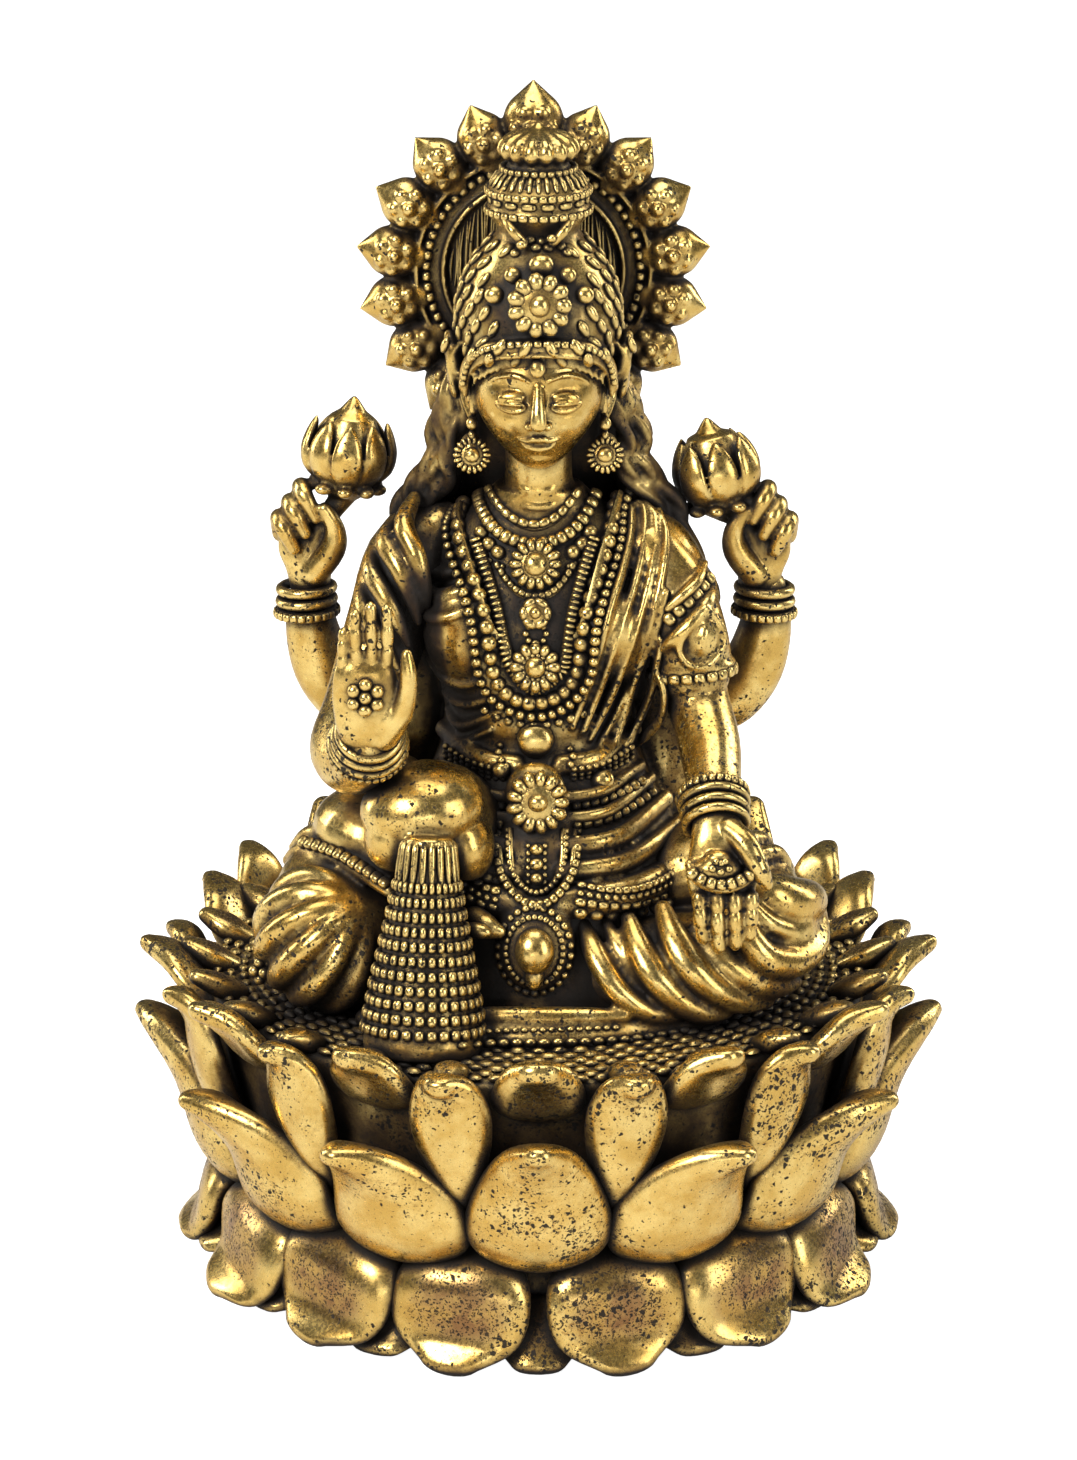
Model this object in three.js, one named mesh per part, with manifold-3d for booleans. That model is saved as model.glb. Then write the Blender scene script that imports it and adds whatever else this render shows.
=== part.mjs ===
// A small cast brass figure of the goddess Lakshmi, seated on a double lotus, with a halo of lotus buds.
// The whole work is one casting, so the group holds one mesh. Millimetres, +Z up. The figure faces -Y.
// The origin is at the middle of the underside.
import * as THREE from "three";
import { mergeVertices } from "three/addons/utils/BufferGeometryUtils.js";
import Module from "manifold-3d";

const wasm = await Module();
wasm.setup();

// Driving sizes of the lotus plinth
const lotus = {
  petals: 12, // in each ring
  footRadius: 30.5,
  waistRadius: 28.6,
  waistHeight: 10.2,
  seatRadius: 34,
  seatHeight: 30.5,
  rimRadius: 40.8, // where the widest petals end
  depthShare: 1.03, // front to back beside side to side
  backRise: 4, // how much taller the petals stand behind than in front
  backReach: 2.6, // how much further out those petals lean
  backFan: 9, // degrees by which they spread to the sides
  droop: 2.4, // how much lower the broad petals hang between front and side
};

// Driving sizes of the figure. Its pose is drawn in millimetres at drawnHeight and scales with height.
const figure = { height: 87.4, drawnHeight: 87.4 };

// Driving sizes of the halo
const halo = {
  centreHeight: 70.7, // above the seat, in the drawn pose
  shift: -0.5, // a little to the viewer's left, in the drawn pose
  behind: 6, // its middle plane behind the lotus axis, in the drawn pose
  depth: 2.4,
  plateRadius: 9,
  ringRadius: 11.5,
  webRadius: 12.6,
  tipRadius: 17.4,
  budAngle: 20.6,
  sideBuds: 7,
  topBud: 1.25, // size of the top bud beside the others
};

// How finely the surface is faceted
const detail = { triangles: 9600, slack: 0.2 };

const brass = new THREE.MeshStandardMaterial({
  color: new THREE.Color(0.7, 0.5, 0.2),
  roughness: 0.35,
  metalness: 1,
});

const { sin, cos, PI } = Math;
const { lerp, degToRad, smoothstep } = THREE.MathUtils;
const turn = 2 * PI;
const grow = figure.height / figure.drawnHeight;
const vec = (x, y, z) => new THREE.Vector3(x, y, z);

// A point of the figure's drawn pose, in the part's frame.
const posed = (x, y, z) => vec(x * grow, y * grow, lotus.seatHeight + z * grow);

// A closed geometry as a manifold-3d solid with its faces outwards.
function solid(geometry) {
  const bare = geometry.index ? geometry.toNonIndexed() : geometry.clone();
  for (const name of Object.keys(bare.attributes))
    if (name !== "position") bare.deleteAttribute(name);
  const merged = mergeVertices(bare, 1e-4);
  const vertProperties = merged.attributes.position.array;
  const triVerts = new Uint32Array(merged.index.array);
  const made = new wasm.Manifold(new wasm.Mesh({ numProp: 3, vertProperties, triVerts }));
  if (made.volume() > 0) return made;
  triVerts.reverse();
  return new wasm.Manifold(new wasm.Mesh({ numProp: 3, vertProperties, triVerts }));
}

// The value at share t of a row of values that are evenly spaced, eased between neighbours.
function along(values, t) {
  const at = Math.min(Math.max(t, 0), 1) * (values.length - 1);
  const i = Math.floor(at);
  return lerp(values[i], values[Math.min(i + 1, values.length - 1)], at - i);
}

// A solid swept along points. wide and thick are rows of half sizes from start to end.
// wide is measured along side, kept square to the path.
function sweep(points, { wide, thick = wide, side = vec(1, 0, 0), sides = 6, steps = 5 }) {
  const curve = new THREE.CatmullRomCurve3(points, false, "centripetal");
  const tube = new THREE.CylinderGeometry(1, 1, 1, sides, steps);
  const position = tube.getAttribute("position");
  const p = vec(0, 0, 0);
  for (let i = 0; i < position.count; i++) {
    p.fromBufferAttribute(position, i);
    const t = p.y + 0.5;
    const tangent = curve.getTangentAt(t);
    const across = side.clone().addScaledVector(tangent, -side.dot(tangent)).normalize();
    const out = tangent.clone().cross(across);
    const spot = curve
      .getPointAt(t)
      .addScaledVector(across, p.x * along(wide, t))
      .addScaledVector(out, p.z * along(thick, t));
    position.setXYZ(i, spot.x, spot.y, spot.z);
  }
  return solid(tube);
}

// An egg of three half sizes about a point, turned by Euler angles in degrees.
function egg(centre, [rx, ry, rz], { sides = 8, rings = 5, tilt = [0, 0, 0] } = {}) {
  const ball = new THREE.SphereGeometry(1, sides, rings).rotateX(PI / 2);
  const turned = new THREE.Euler(...tilt.map(degToRad));
  const place = new THREE.Matrix4()
    .makeRotationFromEuler(turned)
    .setPosition(centre)
    .multiply(new THREE.Matrix4().makeScale(rx, ry, rz));
  return solid(ball.applyMatrix4(place));
}

// The turn that stands a form made along +Y on another axis.
function standing(axis) {
  const lean = new THREE.Quaternion().setFromUnitVectors(vec(0, 1, 0), axis.clone().normalize());
  return new THREE.Matrix4().makeRotationFromQuaternion(lean);
}

// A turned solid from rows of radius and height, with its foot at a point and its axis along a direction.
function turned(rows, foot, axis = vec(0, 0, 1), sides = 12) {
  const profile = rows.map(([r, h]) => new THREE.Vector2(Math.max(r, 0), h));
  const place = standing(axis).setPosition(foot);
  return solid(new THREE.LatheGeometry(profile, sides).applyMatrix4(place));
}

// A polar point about the lotus axis, with azimuth 0 at the front.
const polar = (radius, azimuth, height) =>
  vec(radius * sin(azimuth), -radius * lotus.depthShare * cos(azimuth), height);

// One petal in the upright plane of an azimuth: rows of radius and height down its middle, half widths and half
// thicknesses.
function petal(azimuth, rows, wide, thick, sides, steps) {
  const side = vec(cos(azimuth), sin(azimuth), 0);
  return sweep(
    rows.map(([r, h]) => polar(r, azimuth, h)),
    { wide, thick, side, sides, steps },
  );
}

// The plinth: a turned core, three rings of petals that rise from its waist, and two rings that hang from it.
function plinth() {
  const { footRadius: foot, waistRadius: waist, seatRadius: seat, rimRadius: rim } = lotus;
  const { waistHeight: neck, seatHeight: top } = lotus;
  const step = turn / lotus.petals;
  const rise = top - neck;
  const reach = rim - waist;
  const core = [
    [0, 0],
    [foot, 0],
    [foot + 0.6, neck * 0.15],
    [waist, neck],
    [seat - 1.5, neck + rise * 0.45],
    [seat, top - 1],
    [seat - 1, top],
    [0, top],
  ];
  const rings = [
    // broad petals that bulge and flare out to the rim
    {
      at: 0,
      rows: [
        [waist - 1, neck - 0.4],
        [waist + reach * 0.2, neck + rise * 0.22],
        [waist + reach * 0.32, neck + rise * 0.5],
        [waist + reach * 0.52, neck + rise * 0.7],
        [rim - 0.6, neck + rise * 0.76],
      ],
      wide: [2.6, 7, 7.8, 6.6, 1.2],
      thick: [1.6, 3.2, 3.4, 2.8, 0.9],
      droop: 1,
      sides: 8,
      steps: 6,
    },
    // narrower petals between them
    {
      at: 0.5,
      rows: [
        [waist + 2, neck + rise * 0.3],
        [waist + reach * 0.42, neck + rise * 0.62],
        [waist + reach * 0.58, neck + rise * 0.9],
        [rim - 2.8, top + 0.6],
      ],
      wide: [1.8, 4.6, 5, 1.4],
      thick: [2, 3, 3, 1.2],
      rise: 1,
      sides: 6,
      steps: 4,
    },
    // the inner petals, which lean out over the seat's edge
    {
      at: 0,
      rows: [
        [seat - 3, top - 4.6],
        [seat + 0.8, top - 0.8],
        [rim - 2.6, top + 0.8],
      ],
      wide: [4, 4.8, 1.6],
      thick: [2.4, 3, 1.3],
      rise: 1,
      sides: 6,
      steps: 3,
    },
    // petals that hang to the ground
    {
      at: 0.5,
      rows: [
        [waist - 1.5, neck + 0.4],
        [foot + 0.6, neck * 0.74],
        [foot + 1.2, neck * 0.42],
        [foot + 4.2, 1],
      ],
      wide: [4.4, 6.6, 6.6, 2.2],
      thick: [1.8, 2.1, 1.8, 1],
      sides: 6,
      steps: 4,
    },
    // the tips of the ring behind those
    {
      at: 0,
      rows: [
        [foot - 2, neck * 0.45],
        [foot + 2.6, 1.2],
      ],
      wide: [3.6, 3.2],
      thick: [1.5, 1.1],
      sides: 5,
      steps: 1,
    },
  ];
  const parts = [turned(core, vec(0, 0, 0), vec(0, 0, 1), 24)];
  for (const { at, rows, wide, thick, rise: tall = 0, droop = 0, sides, steps } of rings)
    for (let i = 0; i < lotus.petals; i++) {
      const azimuth = (i + at) * step;
      const behind = Math.max(-cos(azimuth), 0);
      const between = Math.abs(sin(2 * azimuth)) * (1 - behind);
      const push = lotus.backReach * tall * smoothstep(behind, 0, 0.3) * Math.abs(sin(2 * azimuth));
      const lift = lotus.backRise * tall * smoothstep(behind, 0.4, 0.9) - lotus.droop * droop * between;
      const fan = degToRad(lotus.backFan) * tall * behind ** 2 * sin(2 * azimuth);
      const middle = rows.map(([r, h], j) => {
        const share = j / (rows.length - 1);
        return [r + push * share, h + lift * share];
      });
      parts.push(petal(azimuth + fan, middle, wide, thick, sides, steps));
    }
  return parts;
}

// The robed body as rows of height, half width, half depth and middle, all in the drawn pose.
const bodyRows = [
  [-1, 19, 16, -4],
  [6, 18, 15, -4],
  [12, 15.6, 12.8, -3.6],
  [17, 13.6, 11.4, -2.6],
  [21, 11.4, 9.8, -2],
  [25, 9.8, 8.8, -1.2],
  [28, 9.6, 8.2, -1],
  [33, 10.9, 8.8, -0.9],
  [38, 12.4, 8.9, -0.7],
  [42, 12.6, 8, -0.3],
  [46, 10.8, 6.4, 0],
  [48.8, 6, 4.8, -0.5],
  [51, 4.1, 4.2, -1.4],
  [57, 4, 4, -2.6],
];

// A drawn point on the front of the body, or proud of it, at a place across and a height.
function onFront(x, z, proud = 0) {
  const i = Math.max(
    bodyRows.findIndex((row) => row[0] >= z),
    1,
  );
  const t = (z - bodyRows[i - 1][0]) / (bodyRows[i][0] - bodyRows[i - 1][0]);
  const [, rx, ry, middle] = bodyRows[i].map((value, j) => lerp(bodyRows[i - 1][j], value, t));
  const share = Math.min(Math.abs(x) / rx, 0.98);
  return [x, middle - (ry + proud) * Math.sqrt(1 - share * share), z];
}

// Sizes of the drawn pose as they come out at the figure's height.
const sized = (value) => value * grow;

// A rounded limb, roll of cloth or strand through points of the drawn pose.
function limb(points, radii, { sides = 8, steps = 6, side = vec(1, 0, 0), flat = 1 } = {}) {
  const spots = points.map((p) => posed(...p));
  return sweep(spots, {
    wide: radii.map(sized),
    thick: radii.map((r) => sized(r * flat)),
    side,
    sides,
    steps,
  });
}

// A rounded mass of the drawn pose.
function mass(centre, radii, options) {
  return egg(posed(...centre), radii.map(sized), options);
}

// A turned form of the drawn pose.
function turning(rows, foot, axis, sides) {
  return turned(
    rows.map(([r, h]) => [sized(r), sized(h)]),
    posed(...foot),
    axis,
    sides,
  );
}

// Points on the front of the body, part of the way from one row of places across and heights to another.
function between(first, last, u, proud) {
  return first.map(([x, z], i) => onFront(lerp(x, last[i][0], u), lerp(z, last[i][1], u), proud));
}

function body() {
  const column = new THREE.CylinderGeometry(1, 1, 1, 16, bodyRows.length - 1);
  const position = column.getAttribute("position");
  for (let i = 0; i < position.count; i++) {
    const row = Math.round((position.getY(i) + 0.5) * (bodyRows.length - 1));
    const [height, rx, ry, middle] = bodyRows[row];
    const spot = posed(position.getX(i) * rx, middle + position.getZ(i) * ry, height);
    position.setXYZ(i, spot.x, spot.y, spot.z);
  }
  const parts = [solid(column)];
  // cloth that hangs behind the arms
  for (const s of [-1, 1]) {
    const points = [
      [9 * s, 0.8, 41],
      [11.4 * s, 2, 33],
      [12.8 * s, 1, 24],
      [12 * s, -2, 11],
    ];
    parts.push(limb(points, [3.6, 4, 3.8, 2.4], { sides: 6, steps: 5, flat: 0.6 }));
  }
  // breasts
  for (const s of [-1, 1]) parts.push(mass([6.3 * s, -7, 36.4], [4.2, 3.8, 4.6], { sides: 8, rings: 6 }));
  // sash rolls from her left shoulder down to the waist
  const rolls = 6;
  const inner = [
    [9.4, 48.6],
    [10, 44],
    [8.4, 38.6],
    [5.4, 33],
    [2.4, 27.4],
  ];
  const outer = [
    [12.4, 41.5],
    [11.6, 36],
    [10.2, 31.6],
    [8.6, 28],
    [6, 24.6],
  ];
  for (let i = 0; i < rolls; i++) {
    const points = between(inner, outer, i / (rolls - 1), 0.3);
    const broad = 1.5 - (0.4 * i) / (rolls - 1);
    parts.push(limb(points, [1, 1.3, 1.1, 0.8, 0.5].map((r) => r * broad), { sides: 5, steps: 5 }));
  }
  // cloth drawn round her right side
  for (let i = 0; i < 4; i++) {
    const z = 30.4 - 1.9 * i;
    const spots = [
      [-9.6, z - 0.6, 0.3],
      [-7 + 0.8 * i, z + 1, 0.4],
      [-4 + 1.2 * i, z + 2.6, 0.2],
    ];
    const points = spots.map((spot) => onFront(...spot));
    parts.push(limb(points, [0.7, 1.1, 0.6], { sides: 5, steps: 3 }));
  }
  const chest = [
    [-12, 39, 0.4],
    [-8.6, 42.2, 0.8],
    [-5.6, 43.4, 0.3],
  ];
  const overChest = chest.map((spot) => onFront(...spot));
  parts.push(limb(overChest, [1.2, 1.4, 0.9], { sides: 5, steps: 3 }));
  // girdle, skirt rolls and beaded band: height at the middle and at the side, reach, and half width
  const bands = [
    [24.6, 26, 9.4, 0.9],
    [22, 22.6, 10.2, 0.9],
    [19.9, 21.2, 11.2, 0.8],
    [17.3, 18.8, 12.6, 1],
    [15.2, 16.1, 13.8, 1],
    [12.4, 12.8, 14.6, 1.4],
  ];
  for (const [low, high, reach, half] of bands) {
    const points = [onFront(2.6, low, 0.5), onFront(reach * 0.65, low + 0.2, 0.9), onFront(reach, high, 0.5)];
    parts.push(limb(points, [half, half * 1.1, half], { sides: 5, steps: 4 }));
  }
  // necklaces, as strands that hang from the sides of the neck
  const strands = [
    [4.6, 50, 47.2, 0.5],
    [5.8, 49.4, 45.8, 0.6],
    [6, 47.4, 42, 0.5],
  ];
  for (const [reach, high, low, half] of strands) {
    const sag = (u) => lerp(low, high, Math.abs(u) ** 2.2);
    const hang = [-1, -0.72, 0, 0.72, 1].map((u) => onFront(reach * u, sag(u), 0.3));
    parts.push(limb(hang, [half], { sides: 5, steps: 8 }));
  }
  // the long garland
  const garland = [
    [8.4, 49.4],
    [7.4, 46.4],
    [6, 43.4],
    [5.1, 40.4],
    [4.6, 37],
    [4.4, 34.3],
    [3.2, 31.8],
    [0, 30.8],
  ];
  const down = garland.map(([x, z]) => onFront(-x, z, 1.2));
  const up = garland.map(([x, z]) => onFront(x, z, 1.2)).reverse();
  const radii = [1.2, 1.5, 1.5, 1.3, 1.5, 1.5, 1.2];
  parts.push(limb([...down, ...up.slice(1)], radii, { sides: 5, steps: 14, flat: 0.7 }));
  return parts;
}

// A bossed round jewel that faces the viewer, with a rim and a raised middle.
function jewel(centre, radius, proud = 1.6) {
  const rows = [
    [0, -proud],
    [radius, -proud],
    [radius, 0.3 * proud],
    [radius * 0.55, 0.4 * proud],
    [radius * 0.4, proud],
    [0, proud],
  ];
  return turning(rows, centre, vec(0, -1, 0.15), 10);
}

function jewels() {
  return [
    jewel([-0.3, -7.6, 44.2], 2.3),
    jewel([-0.3, -8.6, 39.8], 1.5),
    jewel([-0.3, -9.4, 34.8], 2.3),
    jewel([-0.3, -9.6, 27.9], 1.9),
    jewel([-0.1, -12.6, 22], 2.9, 2),
    // the hanging tongue of the girdle and the drop below it
    mass([-0.2, -14.8, 15.8], [4, 2.4, 4.4], { sides: 10, rings: 6, tilt: [-20, 0, 0] }),
    mass([-0.4, -19, 8.5], [3.8, 2.8, 4.7], { sides: 10, rings: 6, tilt: [-12, 0, 0] }),
  ];
}

// Bangles on a wrist, as one ribbed ring about an axis.
function bangles(centre, axis, radius, count = 2) {
  const rows = [[0, 0]];
  for (let i = 0; i < count; i++)
    rows.push([radius * 0.86, i * 1.4], [radius, i * 1.4 + 0.35], [radius, i * 1.4 + 1.05]);
  rows.push([radius * 0.86, count * 1.4], [0, count * 1.4]);
  return turning(rows, centre, vec(...axis), 10);
}

// A hand with its palm towards the viewer and its thumb on the +X side.
// The fingers point up when up is 1, and down when it is -1.
function openHand([x, y, z], up) {
  const palm = [
    [x - 0.2, y + 2.2, z - 5.2 * up],
    [x - 0.1, y + 0.6, z - 2.8 * up],
    [x, y, z + 0.6 * up],
    [x - 0.3, y - 0.1, z + 4.6 * up],
  ];
  const parts = [limb(palm, [2.7, 3.6, 4, 3.4], { sides: 8, steps: 4, flat: 0.44 })];
  // from forefinger to little finger
  [10.6, 11.2, 10.3, 8.3].forEach((tip, i) => {
    const fx = x + 1.7 - 1.52 * i;
    const points = [
      [fx, y, z + 3 * up],
      [fx, y - 0.9, z + 7 * up],
      [fx, y - 0.8, z + tip * up],
    ];
    parts.push(limb(points, [0.8, 0.85, 0.5], { sides: 6, steps: 3 }));
  });
  const thumb = [
    [x + 1.8, y - 0.4, z - 3.2 * up],
    [x + 3.7, y - 1, z + 0.6 * up],
    [x + 3.5, y - 1.3, z + 5.2 * up],
  ];
  parts.push(limb(thumb, [1.4, 1.3, 0.75], { sides: 6, steps: 3 }));
  return parts;
}

// A raised hand that closes on a lotus stem, and the bud it holds. s is the side of the body.
function buddedHand(s, [x, y, z], foot, tip) {
  const parts = [
    limb(
      [
        [x, y, z - 6.6],
        [x + 0.2 * s, y - 0.2, z - 3],
        [x + 0.5 * s, y, z + 0.6],
      ],
      [1.9, 3, 2.6],
      { sides: 7, steps: 4, flat: 0.8 },
    ),
    // stem
    limb(
      [
        [x + 0.4 * s, y - 1, z - 2.4],
        [x - 1.8 * s, y - 0.8, z + 1.6],
        [foot[0], foot[1], foot[2] + 0.8],
      ],
      [1.2, 1.4, 1.5],
      { sides: 5, steps: 3 },
    ),
    limb(
      [
        [x - 0.8 * s, y - 1, z - 4],
        [x - 2.6 * s, y - 2, z - 1],
        [x - 2 * s, y - 2.4, z + 2.4],
      ],
      [1.5, 1.4, 0.8],
      { sides: 5, steps: 3 },
    ),
  ];
  // curled fingers, one above the other
  for (let i = 0; i < 3; i++) {
    const [fx, fz] = [x + (0.1 + 1.05 * i) * s, z + 3.5 - 1.3 * i];
    const points = [
      [fx + 0.6 * s, y + 1.4, fz - 1.2],
      [fx + 0.6 * s, y - 0.8, fz + 0.6],
      [fx, y - 2.6, fz - 0.6],
      [fx - 0.6 * s, y - 2, fz - 2.4],
    ];
    parts.push(limb(points, [1, 1, 1, 0.8], { sides: 6, steps: 3 }));
  }
  // bud with a collar of small leaves
  const bud = vec(...tip).sub(vec(...foot));
  const rows = [
    [0, 0],
    [3.2, 0.2],
    [3.6, 1],
    [2.9, 1.5],
    [4.1, 2.8],
    [4.3, 4.4],
    [3.7, 6],
    [2, 8.2],
    [0, 10],
  ];
  const stretch = bud.length() / 10;
  parts.push(
    turning(
      rows.map(([r, h]) => [r, h * stretch]),
      foot,
      bud,
      10,
    ),
  );
  return parts;
}

function arms() {
  const parts = [];
  // her right arm, with the hand raised in blessing
  const blessing = [
    [-9.6, 0, 45.6],
    [-12.4, -0.8, 43],
    [-14.8, -2.8, 37],
    [-17.6, -7, 29],
    [-18.4, -11, 26.2],
    [-17.2, -16, 27],
    [-16.3, -20, 30],
  ];
  parts.push(limb(blessing, [3, 4.7, 4.3, 3.9, 4.4, 3.8, 2.7], { steps: 10 }));
  parts.push(bangles([-16.7, -18.4, 28], [0.04, -0.55, 0.84], 3.5));
  parts.push(...openHand([-15.9, -21, 34.4], 1));
  // her left arm, with the hand lowered and giving
  const giving = [
    [9.4, 0, 45.6],
    [12, -0.8, 43],
    [14.4, -3.4, 37],
    [15.4, -5, 30.6],
    [16.4, -9.6, 26.6],
    [17.1, -17, 23.2],
  ];
  parts.push(limb(giving, [3, 4.5, 4.4, 3.6, 3.5, 2.7], { steps: 10 }));
  parts.push(bangles([17, -15.8, 24], [0.06, -0.86, -0.5], 3.6));
  parts.push(...openHand([17.9, -21.2, 18], -1));
  parts.push(mass([17.7, -22.2, 18.4], [3.4, 1.8, 2.3], { sides: 8, rings: 4 }));
  // the hem of her left sleeve, and the rolled cloth of her right one
  const hem = [
    [0, 0],
    [4.1, 0],
    [4.3, 0.8],
    [4.1, 1.7],
    [0, 1.7],
  ];
  parts.push(turning(hem, [15.2, -4.4, 31.9], vec(-0.06, 0.1, 1), 10));
  for (let i = 0; i < 3; i++) {
    const points = [
      [-13.2 - 1.4 * i, -1.6, 48.2 - 2.3 * i],
      [-13.6 - 0.8 * i, -5.8 + 0.4 * i, 44.6 - 2 * i],
      [-11.6 - 0.3 * i, -6.6 + 0.2 * i, 41.4 - 1.6 * i],
    ];
    parts.push(limb(points, [1.1, 1.5, 0.8], { sides: 5, steps: 3 }));
  }
  // the two raised arms behind, each with a lotus bud
  for (const s of [-1, 1]) {
    const points = [
      [7 * s, 1, 42],
      [12 * s, 3.4, 38],
      [16.4 * s, 5, 31],
      [19.8 * s, 5.4, 28],
      [22.2 * s, 5.2, 32],
      [22.8 * s, 4.6, 38],
    ];
    parts.push(limb(points, [2.4, 3.4, 3.3, 3.3, 3, 2.1], { steps: 10 }));
    parts.push(bangles([22.8 * s - 0.3, 4.6, 35.4], [0, 0, 1], 3.3, 3));
  }
  parts.push(...buddedHand(-1, [-22.8, 4.4, 44.4], [-19.2, 4, 49], [-18.2, 4.6, 58.2]));
  parts.push(...buddedHand(1, [22, 4.4, 44.2], [18.3, 4, 47.2], [16.6, 4.6, 56]));
  return parts;
}

// A knee wrapped in ribbed cloth: an egg whose meridians swell into rolls, with its pole towards an axis.
function ribbed(centre, radii, axis, rolls) {
  const sides = rolls * 4;
  const ball = new THREE.SphereGeometry(1, sides, 7);
  const position = ball.getAttribute("position");
  for (let i = 0; i < position.count; i++) {
    const [x, y, z] = [position.getX(i), position.getY(i), position.getZ(i)];
    const swell = 1 + 0.13 * cos(Math.atan2(z, x) * rolls) * Math.hypot(x, z);
    position.setXYZ(i, x * swell, y, z * swell);
  }
  const place = standing(axis)
    .setPosition(posed(...centre))
    .multiply(new THREE.Matrix4().makeScale(...radii.map(sized)));
  return solid(ball.applyMatrix4(place));
}

function legs() {
  const parts = [
    // her right thigh and knee
    limb(
      [
        [-6, -3, 9],
        [-14, -3.4, 9.4],
        [-19, -6.4, 8.8],
        [-22, -10.4, 8],
      ],
      [6.4, 8.6, 7.4, 5.2],
      { sides: 10, steps: 5 },
    ),
    ribbed([-20.4, -11.4, 7.6], [7.6, 8.4, 7.8], vec(0.75, -0.35, 0.5), 6),
    // her left thigh, knee and shin
    limb(
      [
        [6, -3, 8.6],
        [14, -3.4, 9],
        [19, -6, 8.6],
        [22.6, -9.8, 8],
      ],
      [6.4, 8.4, 7.2, 5.2],
      { sides: 10, steps: 5 },
    ),
    ribbed([21.6, -10, 7.7], [7.6, 8, 7.4], vec(-0.75, -0.35, 0.5), 6),
    limb(
      [
        [4, -16, 4.8],
        [12, -16.8, 5.2],
        [20, -13, 5.6],
      ],
      [5.4, 6.6, 5.8],
      { sides: 8, steps: 3, side: vec(0, 0, 1) },
    ),
  ];
  // rolls of cloth that fall from her lap over the shin and round the knee
  const first = [
    [4.2, -19, 10.4],
    [6.6, -22, 6.6],
    [9.4, -22.6, 2.8],
    [13.6, -21.2, 1],
  ];
  const last = [
    [15.6, -18.6, 9.6],
    [18.6, -20.4, 6],
    [22.6, -18.6, 3.8],
    [27, -14, 4.2],
  ];
  const rolls = 4;
  for (let i = 0; i < rolls; i++) {
    const points = first.map((p, j) => p.map((value, k) => lerp(value, last[j][k], i / (rolls - 1))));
    parts.push(limb(points, [0.9, 2, 1.9, 0.8], { sides: 6, steps: 4 }));
  }
  // the hem over her right thigh and the folds above it
  for (let i = 0; i < 3; i++) {
    const points = [
      [-24 + 2 * i, -3, 15.8 + 1.7 * i],
      [-19.4 + 1.4 * i, -10, 15.6 + 1.5 * i],
      [-14 + 0.4 * i, -16, 14.6 + 1.6 * i],
    ];
    parts.push(limb(points, [1, 1.2, 0.8], { sides: 5, steps: 3 }));
  }
  // her right knee drawn up, with a beaded fall of cloth to the seat
  parts.push(
    limb(
      [
        [-6, -4, 13],
        [-9, -10, 18],
        [-10.6, -14.6, 21],
      ],
      [5.4, 6, 5.4],
      { sides: 8, steps: 3 },
    ),
  );
  parts.push(mass([-10.8, -16.2, 21.6], [6.1, 5.2, 4.4], { sides: 12, rings: 8, tilt: [0, -12, 0] }));
  parts.push(mass([-7.4, -15.6, 18.6], [2.6, 4, 3.6], { sides: 8, rings: 6 }));
  parts.push(mass([-13.6, -16.4, 19], [2.8, 4, 3.2], { sides: 8, rings: 6 }));
  const rows = [[0, 0]];
  const tiers = 7;
  const fall = 15.6;
  for (let i = 0; i < tiers; i++) {
    const [low, high] = [i / tiers, (i + 0.75) / tiers];
    const radius = (share) => 5.8 - 2.7 * share;
    rows.push(
      [radius(low), fall * low + 0.3],
      [radius(high), fall * high],
      [radius(high) - 0.4, fall * high + 0.1],
    );
  }
  rows.push([2.4, fall + 4], [2.6, fall + 5.4], [0, fall + 5.8]);
  parts.push(turning(rows, [-11.3, -24.4, -0.4], vec(0.03, 0.19, 1), 12));
  // the edge of the mat she sits on
  const mat = [
    [-16, -18, 0.8],
    [0, -23, 0.8],
    [16, -18, 0.8],
  ];
  parts.push(limb(mat, [1.6, 2, 1.6], { sides: 5, steps: 5, side: vec(0, 0, 1) }));
  return parts;
}

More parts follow.
